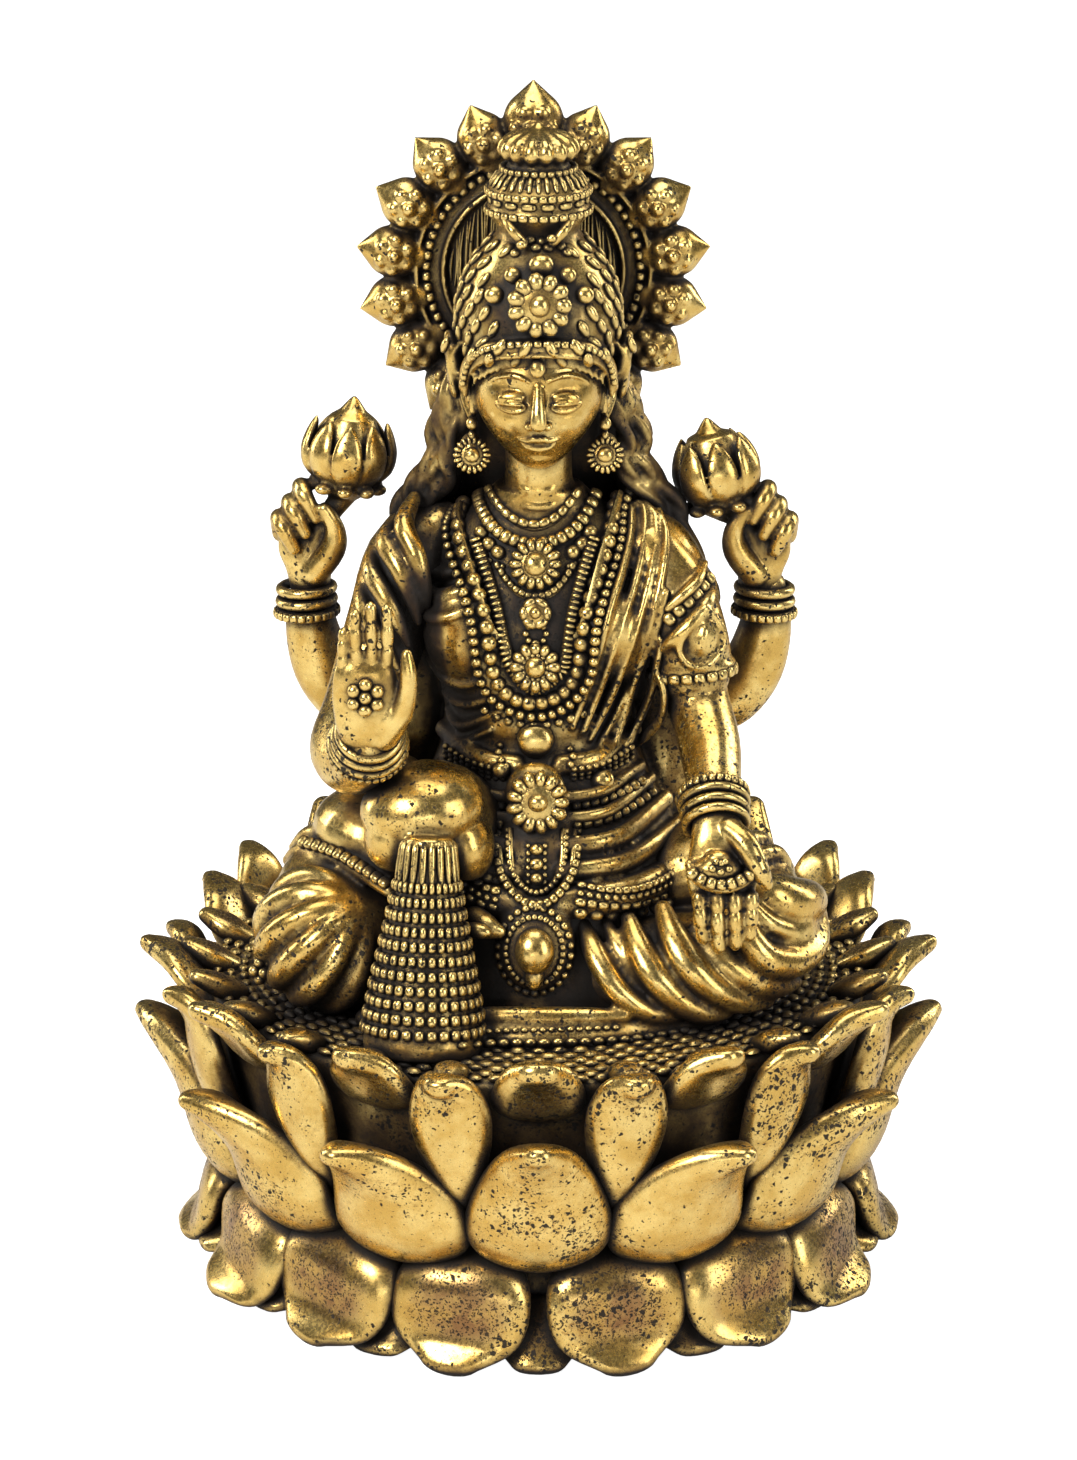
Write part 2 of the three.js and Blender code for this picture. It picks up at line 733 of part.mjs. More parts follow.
function head() {
  const parts = [
    // hair and skull
    mass([0, -2.4, 62.5], [7, 7.4, 9], { sides: 12, rings: 8 }),
    // face, an egg that narrows to the chin
    limb(
      [
        [0, -4.4, 54],
        [0, -4.8, 57.6],
        [0, -5, 63],
        [0, -4.2, 68],
      ],
      [2.6, 5.4, 6.3, 5.8],
      { sides: 12, steps: 6 },
    ),
    // nose and lips
    limb(
      [
        [0, -10.7, 62.6],
        [0, -11.8, 60],
        [0, -11.2, 59],
      ],
      [0.5, 0.9, 0.8],
      { sides: 5, steps: 2 },
    ),
    mass([0, -10, 57], [1.8, 0.9, 0.6], { sides: 6, rings: 3 }),
  ];
  for (const s of [-1, 1]) {
    // ear, earring, eyelid and the crown's side leaf
    parts.push(mass([6.8 * s, -3.6, 60.4], [0.9, 1.3, 2.8], { sides: 6, rings: 4 }));
    parts.push(jewel([6.5 * s, -5.2, 54.8], 1.6, 1));
    parts.push(mass([6.5 * s, -2.6, 56], [1.2, 3.2, 2.6], { sides: 6, rings: 4 }));
    parts.push(mass([2.9 * s, -9.8, 61.6], [1.7, 0.9, 0.7], { sides: 6, rings: 3 }));
    parts.push(mass([8 * s, -2.6, 64.4], [1.2, 2.2, 3], { sides: 6, rings: 4, tilt: [0, 14 * s, 0] }));
    // hair that falls over the back of the shoulder
    for (let i = 0; i < 2; i++) {
      const points = [
        [6 * s, 0.2, 62],
        [(6.8 + 0.4 * i) * s, 1 + i, 54.6],
        [(9.4 + 0.8 * i) * s, 1.8 + i, 48.6],
        [(12.8 + 1 * i) * s, 2.4 + i, 43.4],
        [(15.4 + 1.2 * i) * s, 3 + i, 37],
      ];
      parts.push(limb(points, [1.8, 1.8, 2, 1.8, 1.1], { sides: 6, steps: 6 }));
    }
  }
  // the hair's mass, which narrows down her back
  const mane = [
    [0, 0.6, 62],
    [0, 4.6, 54],
    [0, 6.4, 46],
    [0, 6.4, 36],
    [0, 6, 27],
  ];
  parts.push(limb(mane, [5, 7.4, 8.4, 5.4, 1.6], { sides: 10, steps: 7, flat: 0.45 }));
  // crown, its band and its jewels
  const crown = [
    [0, 64],
    [7.5, 64.8],
    [8.3, 67.4],
    [8.1, 70.4],
    [6.9, 74],
    [4.6, 76.8],
    [0, 78.2],
  ];
  parts.push(turning(crown, [0, -3.2, 0], vec(0, 0, 1), 16));
  const band = [
    [-7.2, -4.6, 62.2],
    [-5.2, -9.4, 65.8],
    [0, -11.4, 67.2],
    [5.2, -9.4, 65.8],
    [7.2, -4.6, 62.2],
  ];
  parts.push(limb(band, [0.8, 0.8], { side: vec(0, 0, 1), sides: 5, steps: 8 }));
  parts.push(jewel([0, -11, 71.8], 2.9, 1.4));
  for (const angle of [-52, -27, 0, 27, 52]) {
    const a = degToRad(angle);
    const spot = [4.7 * sin(a), -9.5 + 1.4 * Math.abs(sin(a)), 71.4 + 4.6 * cos(a)];
    parts.push(mass(spot, [1, 1.2, 1], { sides: 6, rings: 3 }));
  }
  // the pot on top, with its ribbed lid
  const pot = [
    [0, 76],
    [3.6, 76],
    [3.9, 77.4],
    [5.4, 78.2],
    [5.75, 79],
    [5.3, 79.7],
    [5.65, 80.5],
    [3.9, 82.4],
    [3.6, 83.3],
    [2.8, 83.8],
    [3.5, 84.4],
    [3.6, 85.1],
    [2.4, 86],
    [0.8, 86.7],
    [0, 87.4],
  ];
  parts.push(turning(pot, [0, -3.4, 0], vec(0, 0, 1), 14));
  return parts;
}

// The halo: a sunk plate in a ring, and lotus buds round it like rays. The buds stop where the neck is.
function rays() {
  const { plateRadius: plate, ringRadius: ring, webRadius: web, tipRadius: tip, depth, behind } = halo;
  const middle = posed(halo.shift, behind, halo.centreHeight);
  const front = depth / 2;
  const profile = [
    [0, -front],
    [web, -front],
    [web, 0],
    [ring, 0.2],
    [ring, front],
    [ring - 0.6, front + 0.4],
    [ring - 1.7, front + 0.4],
    [plate, 0.2],
    [0, 0.2],
  ];
  const parts = [
    turned(profile, middle, vec(0, -1, 0), 32),
    // neck that ties the halo to the back of the head
    turning(
      [
        [0, 0],
        [5.4, 0],
        [4.6, behind],
        [0, behind],
      ],
      [0, 0, 65],
      vec(0, 1, 0),
      10,
    ),
  ];
  for (let i = -halo.sideBuds; i <= halo.sideBuds; i++) {
    const a = degToRad(i * halo.budAngle);
    const out = vec(sin(a), 0, cos(a));
    const more = i === 0 ? halo.topBud : 1;
    const at = (share) => middle.clone().addScaledVector(out, ring - 0.6 + (tip - ring + 0.6) * share * more);
    parts.push(
      sweep([at(0), at(0.34), at(0.68), at(1)], {
        wide: [1.9, 2.7, 2.2, 0.4].map((w) => w * more),
        thick: [1.3, 2, 1.6, 0.4],
        side: vec(cos(a), 0, -sin(a)),
        sides: 6,
        steps: 4,
      }),
    );
  }
  return parts;
}

// The triangles of a mesh's outer surface.
// The walls of hollows that joined forms seal in are left out, which fills those hollows.
function outerSkin({ vertProperties: xyz, triVerts: corners }) {
  const parent = Array.from({ length: xyz.length / 3 }, (_, i) => i);
  const find = (i) => {
    while (parent[i] !== i) i = parent[i] = parent[parent[i]];
    return i;
  };
  for (let i = 0; i < corners.length; i += 3) {
    parent[find(corners[i + 1])] = find(corners[i]);
    parent[find(corners[i + 2])] = find(corners[i]);
  }
  const volumes = new Map();
  const point = (i) => vec(xyz[3 * i], xyz[3 * i + 1], xyz[3 * i + 2]);
  for (let i = 0; i < corners.length; i += 3) {
    const [a, b, c] = [corners[i], corners[i + 1], corners[i + 2]];
    const shell = find(a);
    volumes.set(shell, (volumes.get(shell) ?? 0) + point(a).dot(point(b).cross(point(c))) / 6);
  }
  const outer = [...volumes].reduce((best, next) => (next[1] > best[1] ? next : best))[0];
  return [...corners].filter((_, i) => find(corners[i - (i % 3)]) === outer);
}

// A queue that gives back the item of least cost first.
class Queue {
  items = [];

  swap(i, j) {
    [this.items[i], this.items[j]] = [this.items[j], this.items[i]];
  }

  add(item) {
    this.items.push(item);
    let i = this.items.length - 1;
    for (let up = (i - 1) >> 1; i > 0 && item.cost < this.items[up].cost; up = (i - 1) >> 1) {
      this.swap(i, up);
      i = up;
    }
  }

  take() {
    this.swap(0, this.items.length - 1);
    const least = this.items.pop();
    const { length } = this.items;
    const cost = (i) => (i < length ? this.items[i].cost : Infinity);
    let i = 0;
    for (;;) {
      const [left, right] = [2 * i + 1, 2 * i + 2];
      const next = cost(left) < cost(right) ? left : right;
      if (cost(next) >= cost(i)) return least;
      this.swap(i, next);
      i = next;
    }
  }
}

// Twice a triangle's area along its normal.
const facing = ([a, b, c]) => b.clone().sub(a).cross(c.clone().sub(a));

// A triangle's part in a sum of squared distances to planes: ten terms of a quadric, then its weight.
function planeTerms(triangle) {
  const normal = facing(triangle);
  const weight = normal.length();
  if (weight < 1e-9) return new Array(11).fill(0);
  const { x, y, z } = normal.divideScalar(weight);
  const d = -normal.dot(triangle[0]);
  return [x * x, x * y, x * z, x * d, y * y, y * z, y * d, z * z, z * d, d * d, 1].map((term) => term * weight);
}

// The mean squared distance from a point to the planes that were summed.
function meanSquare([xx, xy, xz, xd, yy, yz, yd, zz, zd, dd, weight], { x, y, z }) {
  const squares = xx * x * x + yy * y * y + zz * z * z + dd;
  const products = xy * x * y + xz * x * z + yz * y * z + xd * x + yd * y + zd * z;
  return Math.max(squares + 2 * products, 0) / Math.max(weight, 1e-9);
}

// Whether a triangle would fold over or shrink to a sliver when it moves from its old corners to new ones.
function folds(old, now) {
  const [before, after] = [facing(old), facing(now)];
  const sides = now.map((corner, i) => corner.distanceTo(now[(i + 1) % 3]));
  if (after.length() < 0.03 * Math.max(...sides) ** 2) return after.length() < before.length();
  return after.dot(before) < 0.3 * after.length() * before.length();
}

// The same surface with fewer triangles. The edge whose loss moves the surface least goes first.
// It stops when few enough triangles are left, or when the next loss would move the surface by more than slack.
function lightened(spots, corners, most, slack) {
  const faces = [];
  for (let i = 0; i < corners.length; i += 3) faces.push([corners[i], corners[i + 1], corners[i + 2]]);
  const around = spots.map(() => new Set());
  const sums = spots.map(() => new Array(11).fill(0));
  const merge = (sum, terms) => sum.map((value, i) => value + terms[i]);
  faces.forEach((face, f) => {
    const terms = planeTerms(face.map((v) => spots[v]));
    for (const v of face) {
      around[v].add(f);
      sums[v] = merge(sums[v], terms);
    }
  });
  const changes = new Uint32Array(spots.length);
  const queue = new Queue();
  const offer = (a, b) => {
    const sum = merge(sums[a], sums[b]);
    const choices = [0, 0.5, 1].map((t) => spots[a].clone().lerp(spots[b], t));
    const moved = choices.map((at) => meanSquare(sum, at));
    const least = moved.indexOf(Math.min(...moved));
    const cost = moved[least] + 1e-5 * spots[a].distanceToSquared(spots[b]);
    queue.add({ a, b, made: [changes[a], changes[b]], at: choices[least], moved: moved[least], cost });
  };
  const others = (v) => {
    const found = new Set();
    for (const f of around[v]) for (const w of faces[f]) if (w !== v) found.add(w);
    return found;
  };
  spots.forEach((_, v) => {
    for (const w of others(v)) if (v < w) offer(v, w);
  });
  let count = faces.length;
  while (queue.items.length && count > most) {
    const { a, b, made, at, moved } = queue.take();
    if (changes[a] !== made[0] || changes[b] !== made[1] || moved > slack ** 2) continue;
    const shared = [...around[a]].filter((f) => around[b].has(f));
    const near = others(a);
    const common = [...others(b)].filter((w) => near.has(w));
    if (shared.length !== 2 || common.length !== 2) continue;
    const kept = [...around[a], ...around[b]].filter((f) => !shared.includes(f));
    const bad = kept.some((f) => {
      const old = faces[f].map((v) => spots[v]);
      const now = faces[f].map((v) => (v === a || v === b ? at : spots[v]));
      return folds(old, now);
    });
    if (bad) continue;
    spots[a] = at;
    sums[a] = merge(sums[a], sums[b]);
    for (const f of shared) {
      for (const v of faces[f]) around[v].delete(f);
      faces[f] = null;
      count -= 1;
    }
    for (const f of around[b]) {
      faces[f] = faces[f].map((v) => (v === b ? a : v));
      around[a].add(f);
    }
    around[b].clear();
    changes[a] += 1;
    changes[b] += 1;
    for (const w of others(a)) offer(a, w);
  }
  return faces.filter((face) => face);
}

// The casting: every form fused into one solid.
function casting() {
  const parts = [...plinth(), ...body(), ...jewels(), ...arms(), ...legs(), ...head(), ...rays()];
  const made = wasm.Manifold.union(parts).getMesh();
  const spots = [];
  for (let i = 0; i < made.vertProperties.length; i += 3) {
    const [x, y, z] = made.vertProperties.slice(i, i + 3);
    spots.push(vec(x, y, z));
  }
  const faces = lightened(spots, outerSkin(made), detail.triangles, detail.slack);
  const used = [...new Set(faces.flat())];
  const place = new Map(used.map((v, i) => [v, i]));
  const geometry = new THREE.BufferGeometry().setFromPoints(used.map((v) => spots[v]));
  geometry.setIndex(faces.flat().map((v) => place.get(v)));
  geometry.computeVertexNormals();
  const mesh = new THREE.Mesh(geometry, brass);
  mesh.name = "lakshmi_figure";
  return mesh;
}

const root = new THREE.Group();
root.add(casting());

export default root;
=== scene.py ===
import math
import random

import bpy
from mathutils import Matrix, Vector
from mathutils.bvhtree import BVHTree


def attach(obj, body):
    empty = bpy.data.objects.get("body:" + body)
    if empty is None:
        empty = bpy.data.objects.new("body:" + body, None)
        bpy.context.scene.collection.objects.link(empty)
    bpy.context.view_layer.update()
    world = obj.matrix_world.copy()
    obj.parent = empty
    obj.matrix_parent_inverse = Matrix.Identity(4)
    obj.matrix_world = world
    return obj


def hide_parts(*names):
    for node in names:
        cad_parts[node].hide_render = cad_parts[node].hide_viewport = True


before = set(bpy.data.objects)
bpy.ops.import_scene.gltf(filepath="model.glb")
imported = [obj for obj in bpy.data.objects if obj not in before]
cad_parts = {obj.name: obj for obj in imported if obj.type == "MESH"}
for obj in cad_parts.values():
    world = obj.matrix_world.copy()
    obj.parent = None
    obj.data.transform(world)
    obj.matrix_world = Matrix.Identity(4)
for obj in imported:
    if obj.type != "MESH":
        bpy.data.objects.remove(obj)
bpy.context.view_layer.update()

# The figure is drawn in millimetres, and heights of the sitting pose are taken from the lotus seat
mm = 0.001
seatTop = 30.5
chance = random.Random(11)  # every small irregularity comes from here


def place(x, y, z):
    return Vector((x, y, z + seatTop)) * mm  # a point of the sitting pose


def around(radius, azimuth, height, depthShare=1.0):
    a = math.radians(azimuth)  # azimuth 0 is the front of the lotus
    return Vector((radius * math.sin(a), -radius * depthShare * math.cos(a), height)) * mm


# Modelling helpers

def pick(obj):
    bpy.ops.object.select_all(action="DESELECT")
    obj.select_set(True)
    bpy.context.view_layer.objects.active = obj
    return obj


def settle(obj):
    pick(obj)
    bpy.ops.object.transform_apply(location=True, rotation=True, scale=True)
    return obj


# Blender makes the faces of a ball or a spun form in another order each run, so here they are sorted
def inOrder(obj):
    corners = [corner.co.copy() for corner in obj.data.vertices]
    faces = [tuple(face.vertices) for face in obj.data.polygons]
    obj.data.clear_geometry()
    obj.data.from_pydata(corners, [], sorted(faces, key=sorted))
    return obj


def ball(centre, radii, turn=(0, 0, 0), finer=24):
    bpy.ops.object.select_all(action="DESELECT")
    bpy.ops.mesh.primitive_uv_sphere_add(segments=finer, ring_count=finer // 2, radius=mm, location=centre)
    obj = inOrder(bpy.context.object)
    obj.scale = radii
    obj.rotation_euler = [math.radians(a) for a in turn]
    return settle(obj)


def meshOf(name, corners, faces):
    mesh = bpy.data.meshes.new(name)
    mesh.from_pydata(corners, [], faces)
    obj = bpy.data.objects.new(name, mesh)
    bpy.context.scene.collection.objects.link(obj)
    return obj


# A smooth curve through evenly spaced values
def easy(values, t):
    at = min(max(t, 0), 1) * (len(values) - 1)
    i = min(int(at), len(values) - 2)
    part = at - i
    a, b = values[i], values[i + 1]
    before = values[i - 1] if i else a
    after = values[i + 2] if i + 2 < len(values) else b
    bend = 2 * before - 5 * a + 4 * b - after + part * (3 * (a - b) + after - before)
    return a + 0.5 * part * (b - before + part * bend)


# Closes a row of rings into a solid
def skin(name, rings):
    sides = len(rings[0])
    corners = [corner for ring in rings for corner in ring]
    faces = []
    for k in range(len(rings) - 1):
        for j in range(sides):
            n = (j + 1) % sides
            faces.append((k * sides + j, k * sides + n, (k + 1) * sides + n, (k + 1) * sides + j))
    faces.append(tuple(reversed(range(sides))))
    faces.append(tuple(range(len(corners) - sides, len(corners))))
    return meshOf(name, corners, faces)


def facingOut(obj):
    pick(obj)
    bpy.ops.object.mode_set(mode="EDIT")
    bpy.ops.mesh.select_all(action="SELECT")
    bpy.ops.mesh.normals_make_consistent(inside=False)
    bpy.ops.object.mode_set(mode="OBJECT")
    return obj


# A rounded limb, roll or strand through points, with widths and thicknesses in mm
def limb(points, wide, thick=None, side=(1, 0, 0), sides=14, steps=12):
    thick = thick or wide
    rings = []
    near = 0.02  # share of the length over which its direction is taken
    capTurns = [math.radians(a) for a in (80, 55, 25)]

    def ring(t, beyond, share):
        tangent = (easy(points, min(t + near, 1)) - easy(points, max(t - near, 0))).normalized()
        across = Vector(side) - tangent * tangent.dot(Vector(side))
        across.normalize()
        out = tangent.cross(across)
        w, d = easy(wide, t) * mm, easy(thick, t) * mm
        centre = easy(points, t) + tangent * beyond * min(w, d)
        circle = []
        for j in range(sides):
            c, s = math.cos(math.tau * j / sides), math.sin(math.tau * j / sides)
            circle.append(centre + across * w * share * c + out * d * share * s)
        rings.append(circle)

    for a in capTurns:
        ring(0, -math.sin(a), math.cos(a))
    for k in range(steps + 1):
        ring(k / steps, 0, 1)
    for a in reversed(capTurns):
        ring(1, math.sin(a), math.cos(a))
    return skin("limb", rings)


# A profile of radius and height, spun about its axis
def turned(rows, foot, axis=(0, 0, 1), steps=48):
    corners = [(r * mm, 0, h * mm) for r, h in rows]
    obj = meshOf("turned", corners, [])
    obj.data.edges.add(len(corners) - 1)
    for i, edge in enumerate(obj.data.edges):
        edge.vertices = (i, i + 1)
    pick(obj)
    bpy.ops.object.mode_set(mode="EDIT")
    bpy.ops.mesh.select_all(action="SELECT")
    bpy.ops.mesh.spin(steps=steps, angle=math.tau, center=(0, 0, 0), axis=(0, 0, 1))
    bpy.ops.mesh.select_all(action="SELECT")
    bpy.ops.mesh.remove_doubles(threshold=0.002 * mm)
    bpy.ops.mesh.normals_make_consistent(inside=False)
    bpy.ops.object.mode_set(mode="OBJECT")
    inOrder(obj)
    obj.rotation_euler = Vector(axis).to_track_quat("Z", "Y").to_euler()
    obj.location = foot
    return settle(obj)


def joined(parts, name):
    bpy.ops.object.select_all(action="DESELECT")
    for part in parts:
        part.select_set(True)
    bpy.context.view_layer.objects.active = parts[0]
    if len(parts) > 1:
        bpy.ops.object.join()
    obj = bpy.context.object
    obj.name = name
    obj.data.name = name
    return obj


def modified(obj, kind, **settings):
    pick(obj)
    modifier = obj.modifiers.new(kind.lower(), kind)
    for key, value in settings.items():
        setattr(modifier, key, value)
    bpy.ops.object.modifier_apply(modifier=modifier.name)
    return obj


# Melts overlapping forms into one cast skin, with fewer faces where it is smooth
def fused(parts, name, grain, keep, soften=1):
    obj = joined(parts, name)
    modified(obj, "REMESH", mode="VOXEL", voxel_size=grain * mm, use_smooth_shade=True)
    if soften:
        modified(obj, "SMOOTH", factor=0.5, iterations=soften)
    return modified(obj, "DECIMATE", ratio=keep)


# Many small copies of simple shapes as one mesh
def strewn(name, shapes):
    corners, faces = [], []
    for points, sides, spot, turn, size in shapes:
        first = len(corners)
        for point in points:
            stretched = Vector((point[0] * size[0], point[1] * size[1], point[2] * size[2]))
            corners.append(spot + turn @ stretched)
        faces.extend(tuple(first + i for i in side) for side in sides)
    return meshOf(name, corners, faces)


front = Vector((0, -1, 0.3)).normalized()  # towards the viewer


def treeOf(*objects):
    corners, faces = [], []
    for obj in objects:
        first = len(corners)
        corners += [corner.co.copy() for corner in obj.data.vertices]
        faces += [[first + i for i in face.vertices] for face in obj.data.polygons]
    return BVHTree.FromPolygons(corners, faces)


# Where a spot lands on the surface when looked at along view, and which way up it lies there
def landed(tree, spot, view=front, blend=0.45):
    outside, reach = 14, 34  # mm
    hit, normal, _, _ = tree.ray_cast(spot + view * outside * mm, -view, reach * mm)
    if hit is None:
        hit, normal, _, _ = tree.find_nearest(spot)
    return hit, (normal * (1 - blend) + view * blend).normalized()


def evened(spots, times):
    for _ in range(times):
        spots = [spots[0], *((a + b * 2 + c) / 4 for a, b, c in zip(spots, spots[1:], spots[2:])), spots[-1]]
    return spots


# Finish

brassLook = {
    "gold": (0.72, 0.455, 0.115, 1),
    "paleGold": (0.92, 0.67, 0.235, 1),
    "tarnish": (0.36, 0.195, 0.055, 1),
    # rust tone of the petals' sunk faces, partly patina and partly painted shade
    "rustPatinaAndShade": (0.27, 0.135, 0.06, 1),
    "brown": (0.070, 0.034, 0.014, 1),
    "black": (0.010, 0.007, 0.005, 1),
    "goldRoughness": 0.25,
    "patinaRoughness": 0.62,
    "creaseDepth": 1.5,  # how far patina reaches out of a crease, mm
    "hollowDepth": 8.0,  # and out of a hollow
    "rubbedFrom": 0.63,  # openness from which the surface is rubbed, and where it is all rubbed
    "rubbedTo": 0.83,
    "deepFrom": 0.50,  # openness below which it stays black
    "deepTo": 0.72,
    "patinaShift": 0.06,  # how much one step of patina moves all four
    "raggedness": 0.4,
    "cloudScale": 260,
    "blotchScale": 95,
    "gritScale": 2600,
    "speckScale": 1800,
    "speckBand": (0.54, 0.66),  # noise from which a speck begins, and where it is full
    "speckShare": 0.85,
    "pitSpacing": 0.56,  # mm between casting pits
    "pitReach": (0.15, 0.62),  # largest pit in a clean patch and in a pitted one, as a share of that
    "finePits": 2.6,  # how many times closer the small ones lie
    "bendScale": 1700,
    "bend": 0.0009,  # how far the pits are pulled out of round, m
    "creaseEdge": (0.43, 0.492),  # pointiness of a crease and of a flat
    "wornEdge": (0.50, 0.58),  # pointiness from which an edge is rubbed bright, and where it is all bright
    "dentHeight": 0.09,  # mm
    "dentStrength": 0.7,
}


def wire(tree, kind, inputs=(), **settings):
    node = tree.nodes.new(kind)
    for key, value in settings.items():
        setattr(node, key, value)
    for socket, value in dict(inputs).items():
        if isinstance(value, bpy.types.NodeSocket):
            tree.links.new(value, node.inputs[socket])
        else:
            node.inputs[socket].default_value = value
    return node


def ramp(tree, value, low, high, start=0.0, end=1.0):
    node = wire(
        tree, "ShaderNodeMapRange", {0: value, 1: low, 2: high, 3: start, 4: end},
        interpolation_type="SMOOTHSTEP",
    )
    return node.outputs[0]


def sums(tree, operation, first, second):
    return wire(tree, "ShaderNodeMath", {0: first, 1: second}, operation=operation).outputs[0]


def mixed(tree, share, first, second):
    node = wire(tree, "ShaderNodeMix", {0: share, 6: first, 7: second}, data_type="RGBA")
    return node.outputs[2]


def antiqueBrass(name, patina=1.0, pitting=1.0, sheltered=(), withHollowPatinaAndShade=False, farShare=0.4):
    look = brassLook
    material = bpy.data.materials.new(name)
    material.use_nodes = True
    tree = material.node_tree
    shader = tree.nodes["Principled BSDF"]
    spots = wire(tree, "ShaderNodeTexCoord").outputs["Object"]
    cloud = wire(
        tree, "ShaderNodeTexNoise",
        {"Vector": spots, "Scale": look["cloudScale"], "Detail": 6, "Roughness": 0.62},
    ).outputs[0]
    blotch = wire(
        tree, "ShaderNodeTexNoise", {"Vector": spots, "Scale": look["blotchScale"], "Detail": 3},
    ).outputs[0]
    grit = wire(
        tree, "ShaderNodeTexNoise",
        {"Vector": spots, "Scale": look["gritScale"], "Detail": 3, "Roughness": 0.7},
    ).outputs[0]
    near = wire(
        tree, "ShaderNodeAmbientOcclusion", {"Distance": look["creaseDepth"] * mm}, samples=6,
    ).outputs["AO"]
    far = wire(
        tree, "ShaderNodeAmbientOcclusion", {"Distance": look["hollowDepth"] * mm}, samples=6,
    ).outputs["AO"]
    hollow = sums(
        tree, "ADD", sums(tree, "MULTIPLY", near, 1 - farShare), sums(tree, "MULTIPLY", far, farShare),
    )
    edge = wire(tree, "ShaderNodeNewGeometry").outputs["Pointiness"]

    # patina stays where a rub does not reach, with a ragged border
    ragged = sums(tree, "MULTIPLY", sums(tree, "SUBTRACT", cloud, 0.5), look["raggedness"])
    openness = sums(tree, "ADD", hollow, ragged)
    for centre, radii, depth in sheltered:  # places that stay dark because nothing rubs there
        away = wire(
            tree, "ShaderNodeVectorMath", {0: spots, 1: place(*centre)}, operation="SUBTRACT",
        ).outputs[0]
        away = wire(
            tree, "ShaderNodeVectorMath", {0: away, 1: Vector(radii) * mm}, operation="DIVIDE",
        ).outputs[0]
        away = wire(tree, "ShaderNodeVectorMath", {0: away}, operation="LENGTH").outputs[1]
        openness = sums(tree, "SUBTRACT", openness, ramp(tree, away, 0.60, 1.10, depth, 0.0))
    crease = ramp(tree, edge, *look["creaseEdge"])
    shift = look["patinaShift"] * patina
    rubbed = ramp(tree, openness, look["rubbedFrom"] + shift, look["rubbedTo"] + shift)
    rubbed = sums(tree, "MULTIPLY", rubbed, crease)
    deep = ramp(tree, openness, look["deepFrom"] + shift, look["deepTo"] + shift)
    deep = sums(tree, "MULTIPLY", deep, crease)

    # casting pits, thicker in some patches than in others
    warp = wire(
        tree, "ShaderNodeTexNoise", {"Vector": spots, "Scale": look["bendScale"], "Detail": 3},
    ).outputs[1]
    bent = wire(
        tree, "ShaderNodeMix", {0: look["bend"], 4: spots, 5: warp}, data_type="VECTOR",
    ).outputs[1]
    cells = wire(
        tree, "ShaderNodeTexVoronoi",
        {"Vector": bent, "Scale": 1 / (look["pitSpacing"] * mm), "Randomness": 1},
    )
    size = wire(tree, "ShaderNodeSeparateColor", {0: cells.outputs["Color"]}).outputs[0]
    patch = ramp(tree, blotch, 0.34, 0.64, *look["pitReach"])
    reach = sums(tree, "MULTIPLY", sums(tree, "MULTIPLY", size, size), patch)
    inside = sums(tree, "SUBTRACT", cells.outputs["Distance"], reach)
    pit = ramp(tree, sums(tree, "ADD", inside, 0.1 - 0.1 * pitting), -0.03, 0.03, 0.97, 0.0)
    fine = wire(
        tree, "ShaderNodeTexVoronoi",
        {"Vector": bent, "Scale": look["finePits"] / (look["pitSpacing"] * mm), "Randomness": 1},
    )
    lot = wire(tree, "ShaderNodeSeparateColor", {0: fine.outputs["Color"]}).outputs[1]
    some = ramp(tree, lot, 0.62, 0.95, 0.0, 0.55 * pitting)
    some = sums(tree, "MULTIPLY", some, ramp(tree, blotch, 0.42, 0.60, 0.35, 1.0))
    if withHollowPatinaAndShade:  # denser pits in the hollows of petals
        hollowPatinaAndShade = wire(tree, "ShaderNodeAttribute", attribute_name="hollowPatinaAndShade").outputs["Fac"]
        more = sums(tree, "MULTIPLY", ramp(tree, lot, 0.35, 0.8, 0.0, 0.6), ramp(tree, hollowPatinaAndShade, 0.2, 0.8))
        some = sums(tree, "MAXIMUM", some, more)
    little = ramp(tree, sums(tree, "SUBTRACT", fine.outputs["Distance"], some), -0.08, 0.05, 0.9, 0.0)
    pit = sums(tree, "MAXIMUM", pit, little)

    tone = ramp(tree, cloud, 0.38, 0.66)
    gold = mixed(tree, tone, look["gold"], look["paleGold"])
    dust = wire(
        tree, "ShaderNodeTexNoise",
        {"Vector": spots, "Scale": look["speckScale"], "Detail": 4, "Roughness": 0.65},
    )
    share = look["speckShare"] * min(0.4 + 0.6 * pitting, 1)
    speck = ramp(tree, dust.outputs[0], *look["speckBand"], 0.0, share)
    speck = sums(tree, "MULTIPLY", speck, ramp(tree, blotch, 0.38, 0.62, 0.15, 1.0))
    gold = mixed(tree, speck, gold, look["tarnish"])
    # partly patina, partly painted shade: a rust tone darkens the middle of the petals' sunk faces
    if withHollowPatinaAndShade:
        uneven = ramp(tree, cloud, 0.40, 0.60, 0.35, 0.95)
        dim = sums(tree, "MULTIPLY", ramp(tree, hollowPatinaAndShade, 0.1, 0.9), uneven)
        gold = mixed(tree, dim, gold, look["rustPatinaAndShade"])
    worn = mixed(tree, ramp(tree, edge, *look["wornEdge"]), gold, look["paleGold"])
    dull = mixed(tree, rubbed, look["brown"], worn)
    dark = mixed(tree, deep, look["black"], dull)
    colour = mixed(tree, pit, dark, look["black"])
    tree.links.new(colour, shader.inputs["Base Color"])

    bright = sums(tree, "MULTIPLY", rubbed, sums(tree, "SUBTRACT", 1.0, pit))
    tree.links.new(ramp(tree, bright, 0.0, 0.6, 0.35, 1.0), shader.inputs["Metallic"])
    unevenness = ramp(tree, grit, 0.3, 0.7, -0.05, 0.07)
    rough = ramp(tree, bright, 0.0, 1.0, look["patinaRoughness"], look["goldRoughness"])
    tree.links.new(sums(tree, "ADD", rough, unevenness), shader.inputs["Roughness"])

